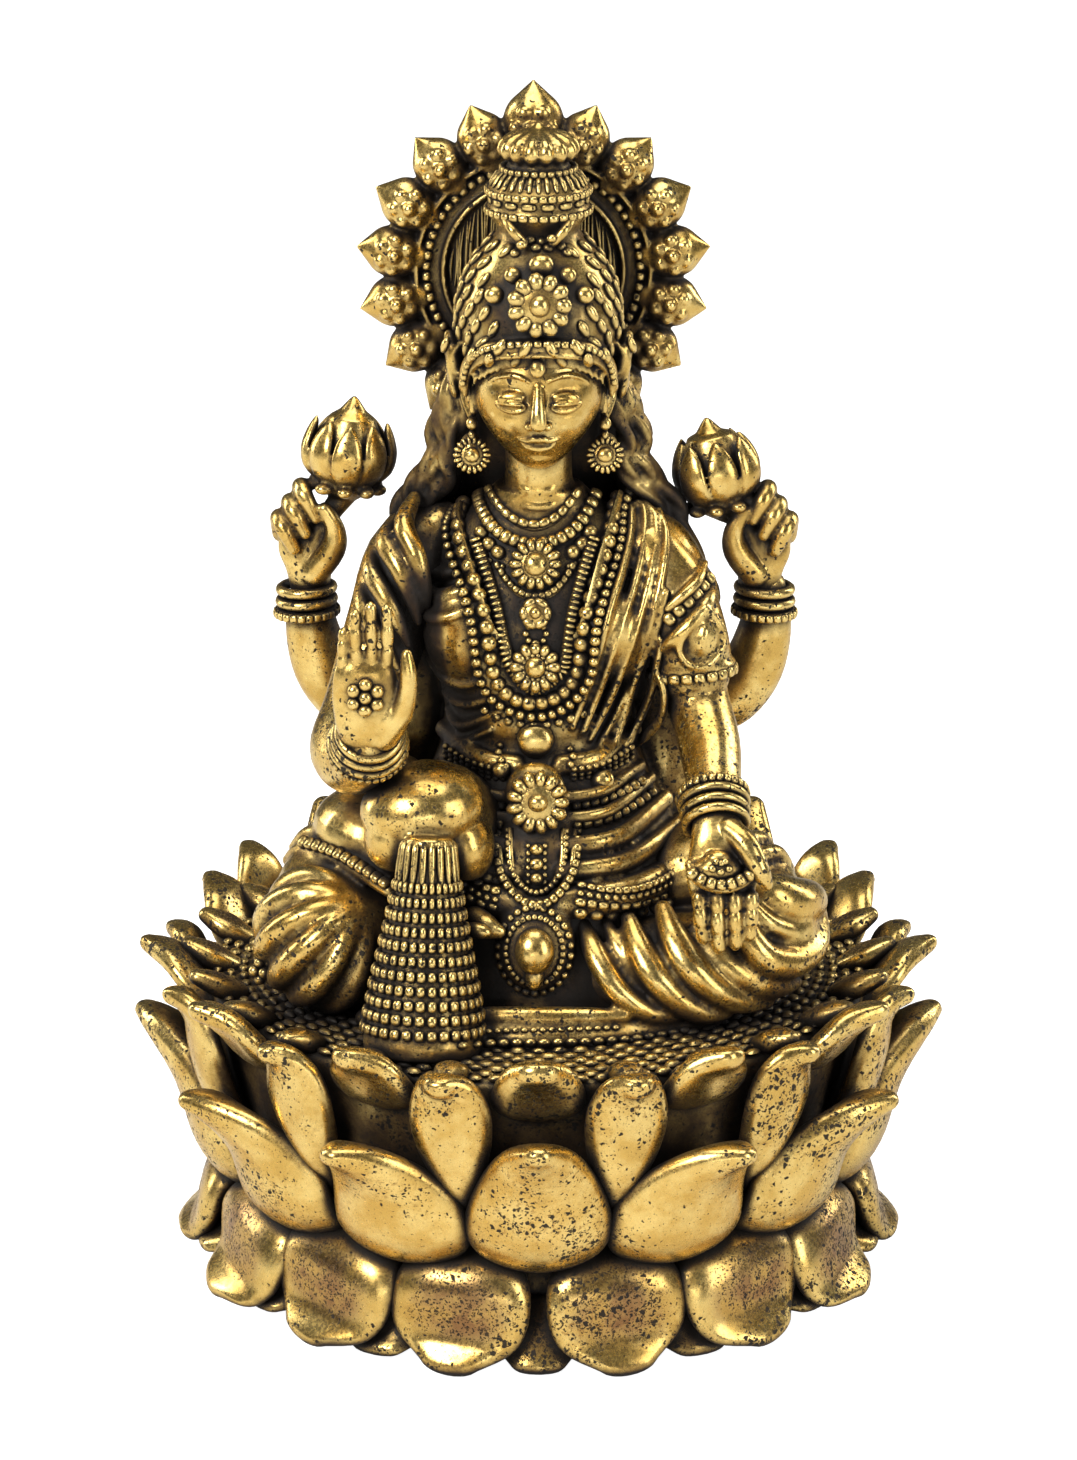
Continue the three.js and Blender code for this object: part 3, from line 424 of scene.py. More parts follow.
    # dents of the cast skin
    height = sums(tree, "SUBTRACT", sums(tree, "MULTIPLY", grit, 0.10), sums(tree, "MULTIPLY", pit, 0.9))
    height = sums(tree, "ADD", height, sums(tree, "MULTIPLY", cloud, 0.55))
    dents = {"Height": height, "Distance": look["dentHeight"] * mm, "Strength": look["dentStrength"]}
    bump = wire(tree, "ShaderNodeBump", dents)
    tree.links.new(bump.outputs[0], shader.inputs["Normal"])
    return material


brass = antiqueBrass("antiqueBrass", 1.5)
smallBrass = antiqueBrass("smallBrass", 1.7, 0.35)
shelteredSpots = [  # middle above the seat, radii in mm, and how strong
    ((-0.3, -9.5, 38.5), (4.6, 5, 8.5), 0.24), ((-9.0, -6.5, 30), (5.5, 6, 7), 0.12),
    ((-0.2, -14.5, 15), (5.5, 7, 9), 0.16), ((-10.8, -5, 43), (3.2, 4, 5), 0.2),
    ((-6, -18, 7), (4, 5, 8), 0.2), ((3, -18, 4), (3, 6, 6), 0.2), ((7, -14, 20), (6, 6, 6), 0.07),
    ((0, -11, 71.5), (6.5, 4, 5.5), 0.22), ((-15.5, -9, 43), (5, 7, 7), 0.08),
    ((-11.5, -7, 36), (3, 6, 9), 0.25),
]
darkBrass = antiqueBrass("darkBrass", 1.9, 1.0, shelteredSpots)
faceBrass = antiqueBrass("faceBrass", 0.9, 0.45, farShare=0.12)
petalBrass = antiqueBrass("petalBrass", 1.9, 1.2, withHollowPatinaAndShade=True)
crownBrass = antiqueBrass("crownBrass", 1.8, 0.4, shelteredSpots[7:8])
hairBrass = antiqueBrass("hairBrass", 2.7, 0.6, [((x, 0, 52), (6, 7, 13), 0.11) for x in (-11, 11)])
haloBrass = antiqueBrass("haloBrass", 2.1, 0.3)


def finished(obj, look=brass):
    obj.data.materials.clear()
    obj.data.materials.append(look)
    pick(obj)
    sharpest = 60  # degrees up to which an edge is shaded smooth
    bpy.ops.object.shade_smooth_by_angle(angle=math.radians(sharpest))
    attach(obj, "root")
    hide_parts("lakshmi_figure")
    print(obj.name, len(obj.data.polygons), "faces")
    return obj


# Lotus

lotus = {
    "petals": 12,
    "depthShare": 1.03,
    "backRise": 4.0,  # mm by which the petals stand taller behind
    "backReach": 2.6,
    "backFan": 9.0,  # degrees by which those petals spread
    "droop": 2.4,  # mm by which the broad petals hang lower between front and side
    "sideFlare": (1.6, 1.7),  # mm by which the hanging petals stand out and rise at the sides
    "keep": 0.4,  # share of the faces that is kept
    "core": [
        (0, 0), (30, 0), (30.6, 1.2), (28.6, 10.2), (31.5, 19), (33.4, 29), (33.2, 30.2), (32.6, 30.5),
        (0, 30.5),
    ],
}
petalRings = [
    {  # broad petals that bulge and flare to the rim
        "at": 0.0, "tall": 0, "droop": 1, "flare": 0.0, "turn": 0, "sweep": 17,
        "rows": [
            (27.8, 11.2), (30.6, 12.7), (32.2, 15.4), (33.0, 18.2), (34.0, 20.8), (35.6, 23.1),
            (37.7, 24.9), (39.8, 25.8),
        ],
        "wide": [3.4, 6.4, 7.4, 7.0, 6.0, 4.8, 3.3, 1.5],
        "thick": [1.2, 1.7, 1.9, 2.0, 2.0, 2.0, 1.8, 1.0],
        "belly": [0.6, 1.3, 1.6, 1.5, 1.2, 0.8, 0.3, 0.0],
    },
    {  # narrower petals between them, with curled tips
        "at": 0.5, "tall": 1, "droop": 0, "flare": 1.2, "turn": 2, "sweep": 7,
        "rows": [
            (30.6, 17.0), (32.6, 20.2), (33.9, 23.6), (34.6, 27), (34.9, 29.4), (35.8, 31.2),
            (37.0, 31.5),
        ],
        "wide": [0.9, 2.4, 3.7, 4.3, 4.0, 3.1, 1.9],
        "thick": [1.1, 1.3, 1.4, 1.4, 1.3, 1.5, 1.25],
        "belly": [0.8, 0.9, 0.7, 0.5, 0.3, 0.2, 0.2],
    },
    {  # inner petals that lean out over the seat's edge
        "at": 0.0, "tall": 1, "droop": 0, "flare": 3.2, "turn": 0, "sweep": 5,
        "rows": [(29.6, 27.2), (32.4, 28.4), (34.0, 30.4), (34.9, 32.2), (36.2, 33.0)],
        "wide": [3.6, 4.6, 4.5, 3.5, 2.2],
        "thick": [1.3, 1.5, 1.4, 1.5, 1.2],
        "belly": [0.6, 0.3, -0.2, 0.1, 0.2],
    },
    {  # petals that hang to the ground, with sunk faces
        "at": 0.5, "tall": 0, "droop": 0, "flare": 0.0, "turn": 11, "sweep": 7,
        "rows": [(28.8, 10.7), (30.6, 9.4), (31.6, 7.2), (32.2, 4.9), (32.9, 2.9), (34.1, 1.3)],
        "wide": [5.0, 6.4, 6.9, 6.7, 5.6, 2.9],
        "thick": [1.2, 1.6, 1.7, 1.6, 1.4, 1.1],
        "belly": [-0.6, -1.0, -0.6, 0.2, 0.4, 0.1],
    },
    {  # tips of the ring behind those
        "at": 0.0, "tall": 0, "droop": 0, "flare": 0.0, "turn": 8, "sweep": 0,
        "rows": [(28.4, 6.4), (29.8, 3.8), (31, 1.9), (32.6, 0.9)],
        "wide": [3.4, 4.2, 3.8, 2.6],
        "thick": [0.8, 0.9, 0.9, 0.8],
        "belly": [-0.4, -0.9, -0.8, -0.1],
    },
    {  # small buds in the gaps at the seat's edge
        "at": 0.5, "tall": 0, "droop": 0, "flare": 0.0, "turn": 0, "sweep": 0, "times": 2,
        "rows": [(30.6, 30.2), (32.4, 31.0), (33.8, 31.0)],
        "wide": [1.2, 1.7, 1.0],
        "thick": [1.0, 1.2, 0.8],
        "belly": [0, 0, 0],
    },
]


def smoothShare(value, low, high):
    t = min(max((value - low) / (high - low), 0), 1)
    return t * t * (3 - 2 * t)


def petal(azimuth, ring, sides=18, steps=12):
    behind = max(-math.cos(math.radians(azimuth)), 0)
    spread = math.sin(math.radians(2 * azimuth))
    aside = math.sin(math.radians(azimuth))
    push = lotus["backReach"] * ring["tall"] * smoothShare(behind, 0, 0.3) * abs(spread)
    push += ring["flare"] * aside ** 2 * (1 - smoothShare(behind, 0, 0.3))
    lift = lotus["backRise"] * ring["tall"] * smoothShare(behind, 0.4, 0.9)
    lift -= lotus["droop"] * ring["droop"] * abs(spread) * (1 - behind)
    low = 1 - ring["tall"] - ring["droop"]
    push += lotus["sideFlare"][0] * low * aside ** 2
    lift += lotus["sideFlare"][1] * low * aside ** 2
    azimuth += lotus["backFan"] * ring["tall"] * behind ** 2 * spread - ring["turn"] * aside ** 3
    last = len(ring["rows"]) - 1
    middle, across = [], []
    for i, (r, h) in enumerate(ring["rows"]):
        t = i / last
        spot = azimuth - ring["sweep"] * (1 - t) * aside
        middle.append(around(r + push * t, spot, h + lift * t ** 1.5, lotus["depthShare"]))
        across.append(Vector((math.cos(math.radians(spot)), math.sin(math.radians(spot)), 0)))
    rings, hollowPatinaAndShadeShares = [], []
    near = 0.03
    # place along the petal, how far past its end, and size
    cuts = [(k / steps, 0, 1) for k in range(steps + 1)]
    cuts = [(0, -0.5, 0.6), *cuts, (1, 0.5, 0.85), (1, 0.85, 0.5), (1, 0.97, 0.2)]
    for t, beyond, share in cuts:
        tangent = (easy(middle, min(t + near, 1)) - easy(middle, max(t - near, 0))).normalized()
        side = easy(across, t)
        side = (side - tangent * tangent.dot(side)).normalized()
        out = side.cross(tangent)
        w, d, belly = (easy(ring[key], t) * mm for key in ("wide", "thick", "belly"))
        w *= 1 + 0.3 * behind ** 2 * (1 - t) * (ring["sweep"] > 0)
        w *= 1 + (0.14 * low - 0.5 * ring["tall"] * t ** 3) * abs(aside)  # sharper tips at the sides
        d *= 1 - 0.25 * ring["tall"] * t ** 3 * abs(aside)
        centre = easy(middle, t) + tangent * beyond * d
        circle = []
        for j in range(sides):
            c, s = math.cos(math.tau * j / sides), math.sin(math.tau * j / sides)
            face = max(-s, 0) if low else max(s, 0) * 0.25  # the hanging petals' inner sides show; this share gets denser pits and a rust tone that is partly patina and partly painted shade
            hollowPatinaAndShadeShares.append(face * (1 - abs(c) ** 3) * math.sin(math.pi * min(t * 1.05, 1)))
            c, s = math.copysign(abs(c) ** 0.9, c), math.copysign(abs(s) ** 0.8, s)
            dish = 1 - c * c if belly > 0 else 1 - abs(c) ** 3.5
            circle.append(centre + side * w * share * c + out * (d * share * s + belly * share * dish))
        rings.append(circle)
    obj = skin("petal", rings)
    obj.data.attributes.new("hollowPatinaAndShade", "FLOAT", "POINT").data.foreach_set("value", hollowPatinaAndShadeShares)
    return obj


def makeLotus():
    parts = [turned(lotus["core"], (0, 0, 0), steps=96)]
    for ring in petalRings:
        times = ring.get("times", 1)
        count = lotus["petals"] * times
        for i in range(count):
            parts.append(petal((i + ring["at"] * times) * 360 / count, ring))
    # knob on the front petal
    parts.append(ball(around(38.7, 0.8, 24.7, lotus["depthShare"]), (1.0, 0.7, 0.8), finer=20))
    obj = facingOut(joined(parts, "lotusPlinth"))
    modified(obj, "SUBSURF", levels=1, render_levels=1)
    modified(obj, "DECIMATE", ratio=lotus["keep"])
    return finished(obj, look=petalBrass)


makeLotus()
print("lotus done")

# Sitting pose

def roll(points, wide, thick=None, **more):
    return limb([place(*point) for point in points], wide, thick, **more)


def mass(centre, radii, turn=(0, 0, 0), finer=24):
    return ball(place(*centre), radii, turn, finer)


torsoSizes = {
    "grain": 0.25,  # mm between the points of the cast skin
    "keep": 0.37,  # share of its faces that is kept
    "rings": 46,
    "around": 48,
    "sashShares": (0.7, 1.0, 1.05, 1.0, 1.0, 1.0, 0.6),  # a sash fold's width along its length
    "sashTall": 1.8,  # how much taller than wide
    "sashLift": 0.3,  # mm its middle lies above the cloth
    "pullShares": (0.7, 1.0, 1.0, 0.9, 0.5),
    "pullTall": 1.4,
    "pullLift": 0.2,
}
robe = [  # height, half width, half depth and middle of the robed body
    (-1, 19, 16, -4), (6, 18, 15, -4), (12, 15.6, 12.8, -3.6), (17, 13.6, 11.4, -2.6), (21, 11.2, 9.6, -2),
    (25, 9.6, 8.6, -1.2), (28, 9.3, 8.0, -1), (33, 10.4, 8.4, -0.9), (38, 11.4, 8.5, -0.7),
    (42, 12.0, 7.6, -0.3), (46, 10.6, 6.2, 0), (48.8, 6.2, 4.8, -0.5), (51, 4.1, 4.2, -1.4),
]


def robeAt(z):
    i = next((n for n, row in enumerate(robe) if row[0] >= z), len(robe) - 1) or 1
    t = (z - robe[i - 1][0]) / (robe[i][0] - robe[i - 1][0])
    return [a + (b - a) * t for a, b in zip(robe[i - 1], robe[i])]


def onFront(x, z, proud=0.0):
    _, rx, ry, middle = robeAt(z)
    share = min(abs(x) / rx, 0.98)
    return (x, middle - (ry + proud) * math.sqrt(1 - share * share), z)


def onBack(x, z, proud=0.0):
    _, rx, ry, middle = robeAt(z)
    share = min(abs(x) / rx, 0.98)
    return (x, middle + (ry + proud) * math.sqrt(1 - share * share), z)


def laidOn(tree, points, lift):
    hits = [landed(tree, place(*point), front, 0.3) for point in points]
    return [spot + normal * lift * mm for spot, normal in hits]


def upperArm():  # her left upper arm, which the sash lies against
    arm = [(9.4, 0, 45.6), (12, -0.8, 43), (14.4, -3.4, 37), (15.5, -5, 30.6), (16.9, -9.8, 26.0)]
    arm.append((17.2, -18.4, 21.4))
    muscle = [(10.8, -1.8, 44), (13.3, -3.4, 40.2), (14.8, -4.5, 35.6), (15.1, -4.8, 32.8)]
    return [
        roll(arm, [3, 3.9, 3.9, 3.2, 3.05, 2.3], sides=28, steps=28),
        roll(muscle, [3.4, 3.9, 4.0, 4.0], sides=28, steps=14),
    ]


def makeTorso():
    parts = []
    rings = []
    sizes = torsoSizes
    foot, tall = -0.6, 51.4
    turns = [math.tau * j / sizes["around"] for j in range(sizes["around"])]
    for k in range(sizes["rings"]):
        z = foot + tall * k / (sizes["rings"] - 1)
        _, rx, ry, middle = robeAt(z)
        rings.append([place(rx * math.cos(a), middle + ry * math.sin(a), z) for a in turns])
    parts.append(skin("robe", rings))
    parts.append(mass((-7.2, -6.2, 36.8), (4.2, 3.6, 5.2), (12, 0, -14)))
    parts.append(mass((6.6, -6.2, 36.6), (4.2, 3.8, 5.0), (12, 0, 14)))
    parts.append(mass((0, -6.2, 28.2), (6.4, 3.4, 4.6)))  # belly
    neck = [(0, -1.0, 45), (0, -1.3, 48), (0, -1.7, 50.4), (0, -2.2, 52.6), (0, -2.6, 55), (0, -2.8, 58)]
    wide, thick = [6.5, 4.7, 3.6, 3.3, 3.3, 3.6], [4.6, 4.3, 3.7, 3.5, 3.5, 3.8]
    parts.append(roll(neck, wide, thick, sides=32, steps=24))
    for z in (49.6, 51.2, 52.7):  # creases of the neck
        for s in (-1, 1):
            line = [(2.5 * s, -4.1, z + 0.5), (1.3 * s, -5.2, z), (0, -5.45, z - 0.2)]
            parts.append(roll(line, [0.16, 0.3, 0.26], sides=8))
    # sash from her left shoulder
    sleeve = upperArm()
    tree = treeOf(*parts[:4], *sleeve)
    for part in sleeve:
        bpy.data.objects.remove(part)
    sash = [  # across, depth at which it is seen, and height of each fold
        ([
            (8.2, -1, 51.0), (9.4, -3, 49.2), (9.3, -7, 46.6), (8.1, -9, 43.7), (7.2, -9, 40.8),
            (6.4, -9, 37.9), (5.6, -9, 34.7), (4.3, -9, 31.2), (3.25, -9, 28.1),
        ], 0.50),
        ([
            (9.7, -1, 50.6), (10.7, -3, 49.0), (10.5, -7, 46.0), (9.4, -9, 42.3), (8.1, -9, 38.8),
            (7.0, -9, 35.2), (5.7, -9, 31.6), (4.3, -9, 27.6),
        ], 0.50),
        ([
            (11.1, -1, 50.0), (11.9, -3, 48.4), (11.6, -7, 45.2), (10.6, -9, 41.0), (9.3, -9, 37.5),
            (8.0, -9, 33.9), (6.6, -9, 30.3), (5.0, -9, 26.8),
        ], 0.48),
        ([
            (12.3, -1, 48.9), (12.8, -4, 46.6), (12.4, -8, 43.8), (11.4, -9, 40.0), (10.2, -9, 36.6),
            (8.9, -9, 33.0), (7.5, -9, 29.4), (5.8, -9, 25.9),
        ], 0.45),
        ([
            (12.6, -8, 41.6), (12.2, -9, 39.0), (11.1, -9, 35.8), (10.0, -9, 32.6), (8.7, -9, 29.0),
            (7.1, -9, 25.5),
        ], 0.42),
        ([(12.2, -9, 37.0), (11.5, -9, 34.6), (10.3, -9, 31.4), (9.2, -9, 28.0), (8.2, -9, 24.9)], 0.40),
        ([(11.8, -9, 33.8), (11.2, -9, 31.4), (10.2, -9, 28.4), (9.5, -9, 26.0)], 0.38),
    ]
    for points, size in sash:
        line = evened(laidOn(tree, points, sizes["sashLift"]), 1)
        wide = [size * k for k in sizes["sashShares"]]
        parts.append(limb(line, wide, [w * sizes["sashTall"] for w in wide], sides=14, steps=30))
    # cloth pulled round her right side, and over her chest
    pulls = [
        ([(-11.8, -4, 44.0), (-10.6, -7, 43.0), (-8.6, -8, 43.2), (-6.8, -8, 44.8)], 0.7),
        ([(-11.9, -5, 41.8), (-10.8, -8, 40.9), (-9.4, -8, 40.9), (-7.0, -8, 41.8), (-5.8, -8, 42.6)], 0.85),
        ([(-11.6, -5, 39.6), (-10.8, -8, 38.9), (-9.3, -8, 38.7), (-6.7, -8, 39.8), (-5.4, -8, 40.8)], 0.65),
        ([(-11.2, -5, 33.6), (-9.9, -8, 32.9), (-7.6, -8, 33.3), (-5.5, -8, 34.7)], 0.5),
        ([(-11.0, -5, 31.9), (-9.7, -8, 31.1), (-7.2, -8, 31.5), (-4.4, -8, 33.1)], 0.55),
        ([(-10.8, -5, 30.0), (-9.5, -8, 29.2), (-6.7, -8, 29.8), (-3.8, -8, 31.3)], 0.55),
        ([(-11.2, -5, 28.1), (-10.1, -8, 27.3), (-7.2, -8, 27.9), (-3.6, -8, 29.5)], 0.55),
        ([(-11.6, -6, 26.2), (-11.0, -8, 25.5), (-8.0, -8, 26.1), (-4.6, -8, 27.5)], 0.5),
    ]
    for points, size in pulls:
        line = evened(laidOn(tree, points, sizes["pullLift"]), 1)
        wide = [size * k for k in sizes["pullShares"]]
        tall = [w * sizes["pullTall"] for w in wide]
        parts.append(limb(line, wide, tall, side=(0, 0, 1), sides=14, steps=20))
    for i in range(5):  # the same cloth behind
        spots = [(9.6 - 4.8 * k, 44.5 - 1.1 * i - (2.9 + 0.5 * i) * k) for k in range(5)]
        line = [onBack(x, z, 0.1) for x, z in spots]
        parts.append(roll(line, [0.7, 1.0, 1.1, 1.0, 0.7], sides=12, steps=14))
    for s in (-1, 1):  # cloth that hangs behind the arms
        line = [(9 * s, 0.8, 41), (11.4 * s, 2, 33), (12.8 * s, 1, 24), (12 * s, -2, 11)]
        parts.append(roll(line, [3.6, 4, 3.8, 2.4], [2.2, 2.4, 2.3, 1.5], sides=20, steps=14))
        for i in range(3):
            line = [(9.4 + i, 3 - i, 40), (11.6 + i, 4.0 - i, 32)]
            line += [(12.6 + 1.2 * i, 3.0 - i, 23), (12.4 + i, -i, 12)]
            line = [(x * s, y, z) for x, y, z in line]
            parts.append(roll(line, [0.8, 1.2, 1.2, 0.9], sides=12, steps=12))
    # girdle, skirt rolls and the band under them
    skirt = [  # height at the middle and at the side, reach, half thickness, and how far it stands out
        (24.6, 26, 9.4, 1.0, 0.6), (21.7, 22.6, 10.2, 0.62, 0.8), (19.9, 21.2, 11.2, 0.62, 0.9),
        (17.6, 19.2, 12.6, 0.95, 1.4), (15.5, 16.7, 13.8, 0.95, 1.6), (12.6, 13.2, 14.6, 1.6, 1.2),
    ]
    for low, high, reach, half, proud in skirt:
        for s in (-1, 1):
            inner, outer = onFront(2.2 * s, low, proud), onFront(reach * s, high, proud)
            spots = [inner, onFront(reach * 0.62 * s, low + 0.2, proud + 0.3), outer]
            wide, tall = [half, half * 1.08, half], [half * 0.9] * 3
            parts.append(roll(spots, wide, tall, side=(0, 0, 1), sides=16, steps=14))
    for z in (25, 21.6, 18, 15, 12):
        back = [onBack(x, z, 0.4) for x in (9.4, 5, 0, -5, -9.4)]
        parts.append(roll(back, [0.9] * 5, side=(0, 0, 1), sides=12, steps=16))
    parts.append(mass((-0.2, -13.6, 16.4), (4.2, 2.6, 5.0), (-20, 0, 0)))  # tongue of the girdle
    parts.append(mass((-0.3, -18.3, 8.8), (3.9, 2.2, 4.8), (-12, 0, 0)))  # drop under it
    parts.append(mass((-0.3, -12.0, 22.3), (3.0, 1.8, 3.0), (-10, 0, 0)))
    return finished(fused(parts, "robedBody", sizes["grain"], sizes["keep"]), look=darkBrass)


# A fan of pleats that closes at its pole
def kneeBall(centre, radii, pole, lobes, phase):
    depth = 0.27  # of the pleats, as a share of the radius
    bpy.ops.object.select_all(action="DESELECT")
    bpy.ops.mesh.primitive_uv_sphere_add(segments=132, ring_count=48, radius=1)
    obj = inOrder(bpy.context.object)
    for corner in obj.data.vertices:
        x, y, z = corner.co
        flat = math.hypot(x, y)
        ridge = abs(math.cos((math.atan2(y, x) + phase) * lobes / 2)) ** 0.6
        swell = 1 + depth * (ridge - 0.75) * smoothShare(flat, 0.1, 0.75)
        corner.co = (x * swell, y * swell, z)
    turn = Vector(pole).to_track_quat("Z", "Y")
    for corner in obj.data.vertices:
        spun = turn @ corner.co
        corner.co = place(*centre) + Vector((spun.x * radii[0], spun.y * radii[1], spun.z * radii[2])) * mm
    return settle(obj)


lapSizes = {
    "grain": 0.3,
    "keep": 0.42,
    "coneFoot": (-11.3, -24.4, -0.4),
    "coneLean": (0.03, 0.19, 1),
    "coneRows": 11,
    "coneColumns": 30,
    "coneFlutes": 20,
    "hemBeads": [(0, "block", (0.6, 0.66, 0.5), 1.25)],
    "matBeads": [(0, "pearl", (0.62, 0.42, 0.4), 1.35)],
    "upperMatBeads": [(0, "pearl", (0.4, 0.3, 0.3), 0.9)],
}


def makeLap():
    parts = [
        roll(
            [(-6, -3, 9), (-14, -3.4, 9.4), (-19, -6.4, 8.8), (-21.4, -9.4, 8)], [6.4, 8.4, 7.2, 5.6],
            side=(0, 0, 1), sides=28, steps=14,
        ),
        kneeBall((-20.7, -12.2, 7.3), (7.4, 8.2, 7.2), (5.2, -4.8, 7.6), 12, 0.35),
        mass((-20.2, -6.6, 10.0), (6.0, 6.6, 5.6)),
        roll(
            [(6, -3, 8.6), (14, -3.4, 9), (19, -6, 8.6), (22, -9.2, 8)], [6.4, 8.2, 7.0, 5.4],
            side=(0, 0, 1), sides=28, steps=14,
        ),
        mass((22.0, -10.4, 7.6), (6.0, 6.6, 5.6)),
        mass((20.6, -5.6, 9.6), (5.6, 6.0, 4.9)),
        roll(
            [(4, -13.5, 4.4), (12, -14, 4.8), (20, -11.0, 5.2)], [4.6, 5.4, 4.8], side=(0, 0, 1),
            sides=24, steps=12,
        ),
    ]
    # rolls that fall over the shin
    rolls = [
        ([
            (4.4, -16.2, 10.2), (5.2, -18.4, 8.6), (6.4, -20.2, 6.6), (8.2, -21.0, 4.3),
            (10.8, -20.8, 2.5), (13.6, -20.0, 1.8),
        ], [0.6, 1.0, 1.15, 1.2, 1.1, 0.6]),
        ([
            (6.6, -16.0, 10.4), (7.8, -18.2, 8.4), (9.4, -19.4, 6.0), (12.0, -19.8, 3.6),
            (15.2, -19.4, 2.2),
        ], [0.5, 0.8, 0.85, 0.8, 0.5]),
        ([
            (8.8, -16.4, 10.8), (9.8, -18.6, 8.6), (11.3, -20.2, 6.2), (13.4, -20.6, 3.9),
            (16.0, -20.0, 2.2), (18.4, -18.8, 1.6),
        ], [0.7, 1.3, 1.5, 1.4, 1.2, 0.6]),
        ([
            (12.2, -15.8, 11.6), (13.2, -18.2, 9.4), (14.8, -19.8, 7.0), (16.9, -20.0, 4.8),
            (19.6, -18.6, 2.9), (22.6, -16.4, 1.9),
        ], [0.8, 1.4, 1.6, 1.5, 1.3, 0.6]),
        ([
            (15.4, -16.6, 9.6), (17.4, -18.2, 7.4), (19.9, -18.2, 5.4), (22.8, -16.4, 3.8),
            (25.4, -13.6, 3.0),
        ], [0.8, 1.4, 1.6, 1.5, 0.7]),
        ([
            (20.0, -17.4, 11.6), (20.8, -18.2, 9.0), (22.4, -17.8, 6.9), (25.0, -15.4, 5.9),
            (27.2, -11.6, 6.4), (27.9, -8.0, 8.4),
        ], [0.7, 1.4, 1.7, 1.7, 1.5, 0.8]),
        (
            [(20.6, -17.0, 12.6), (22.6, -16.6, 10.2), (25.0, -14.2, 8.6), (27.2, -10.6, 8.4)],
            [0.6, 1.0, 1.1, 0.8],
        ),
        ([
            (19.6, -14.0, 13.6), (22.2, -14.0, 12.4), (24.6, -12.4, 11.0), (26.4, -9.0, 10.0),
            (26.8, -6.0, 9.6),
        ], [1.0, 2.3, 2.6, 2.2, 1.2]),
    ]
    for points, wide in rolls:
        parts.append(roll(points, wide, [w * 1.1 for w in wide], side=(0, 0, 1), sides=20, steps=24))
    # hem cords over her right thigh and the folds above
    folds = [
        (
            [(-25.2, -3.6, 12.4), (-23.2, -6.4, 14.6), (-19.2, -11.6, 15.0), (-14.6, -17.4, 13.9)],
            [0.5, 0.85, 0.95, 0.7],
        ),
        (
            [(-24.6, -2.6, 13.4), (-22.6, -5.0, 15.8), (-18.8, -9.8, 16.5), (-14.2, -16.0, 15.4)],
            [0.5, 0.8, 0.9, 0.7],
        ),
        (
            [(-23.0, -1.4, 14.8), (-20.6, -3.2, 17.0), (-17.6, -7.4, 18.0), (-14.2, -12.8, 17.4)],
            [0.5, 1.0, 1.2, 0.9],
        ),
        (
            [(-20.6, -0.8, 16.6), (-17.8, -3.2, 19.4), (-15.4, -6.4, 20.4), (-13.4, -10.4, 19.9)],
            [0.5, 1.1, 1.3, 0.9],
        ),
        (
            [(-17.6, -0.6, 18.6), (-15.2, -2.6, 21.6), (-13.2, -5.0, 22.6), (-11.6, -8.2, 22.6)],
            [0.5, 1.1, 1.3, 0.9],
        ),
        (
            [(18.6, -13.6, 13.4), (21.4, -9.8, 14.6), (23.6, -6.6, 14.2), (25.2, -4.4, 11.8)],
            [0.5, 0.85, 0.85, 0.5],
        ),
        (
            [(17.6, -12.0, 14.6), (19.8, -8.6, 15.6), (22.0, -5.4, 15.2), (23.6, -3.4, 13.0)],
            [0.5, 0.9, 0.9, 0.5],
        ),
        ([(-6.2, -18.4, 11.4), (-4.9, -19.6, 10.9), (-3.8, -20.0, 10.6)], [1.3, 1.2, 0.7]),
    ]
    for points, wide in folds:
        parts.append(roll(points, wide, sides=14, steps=14))
    parts.append(mass((-15.4, -6, 15.4), (7.4, 7.2, 5.0), (0, 24, 20)))
    parts.append(mass((15.4, -6, 12.6), (6.6, 6.8, 4.8), (0, -24, -20)))
    # her right knee drawn up
    parts += [
        roll([(-6, -4, 13), (-9, -10, 18), (-10.6, -14.6, 21)], [5.4, 6, 5.4], sides=24, steps=12),
        mass((-11.3, -15.8, 21.9), (6.2, 5.2, 4.3), (0, -6, 0), 32),
        mass((-7.2, -15.4, 18.4), (2.9, 4.4, 4.0), (0, -14, 0)),
        mass((-14.0, -15.9, 19.4), (3.1, 4.2, 3.8), (0, 12, 0)),
    ]
    cone = [  # radius and height
        (0, -0.2), (5.664, 0.0), (5.856, 1.2), (5.472, 3.4), (4.896, 6.6), (4.224, 10), (3.552, 13.2),
        (2.928, 16.2), (2.6112, 18.6), (2.448, 20.4), (2.496, 20.9), (2.208, 21.3), (0, 21.5),
    ]
    parts.append(turned(cone, place(*lapSizes["coneFoot"]), lapSizes["coneLean"], 64))
    # strips of the mat under her
    strip = [(-9, -21.4, 2.4), (0, -22.3, 2.5), (8.4, -21.6, 2.4)]
    parts.append(roll(strip, [0.8, 1.15, 0.8], side=(0, 0, 1), sides=16, steps=12))
    strip = [(-17, -17.6, 0.7), (0, -23.4, 0.7), (17, -17.6, 0.7)]
    parts.append(roll(strip, [1.1, 1.3, 1.1], side=(0, 0, 1), sides=16, steps=24))
    mat = [(0, -0.4), (19.6, -0.4), (20.2, 0.4), (19.4, 1.2), (0, 1.6)]
    parts.append(turned(mat, place(0, -4, 0), (0, 0, 1), 96))
    return finished(fused(parts, "clothedLap", lapSizes["grain"], lapSizes["keep"]))


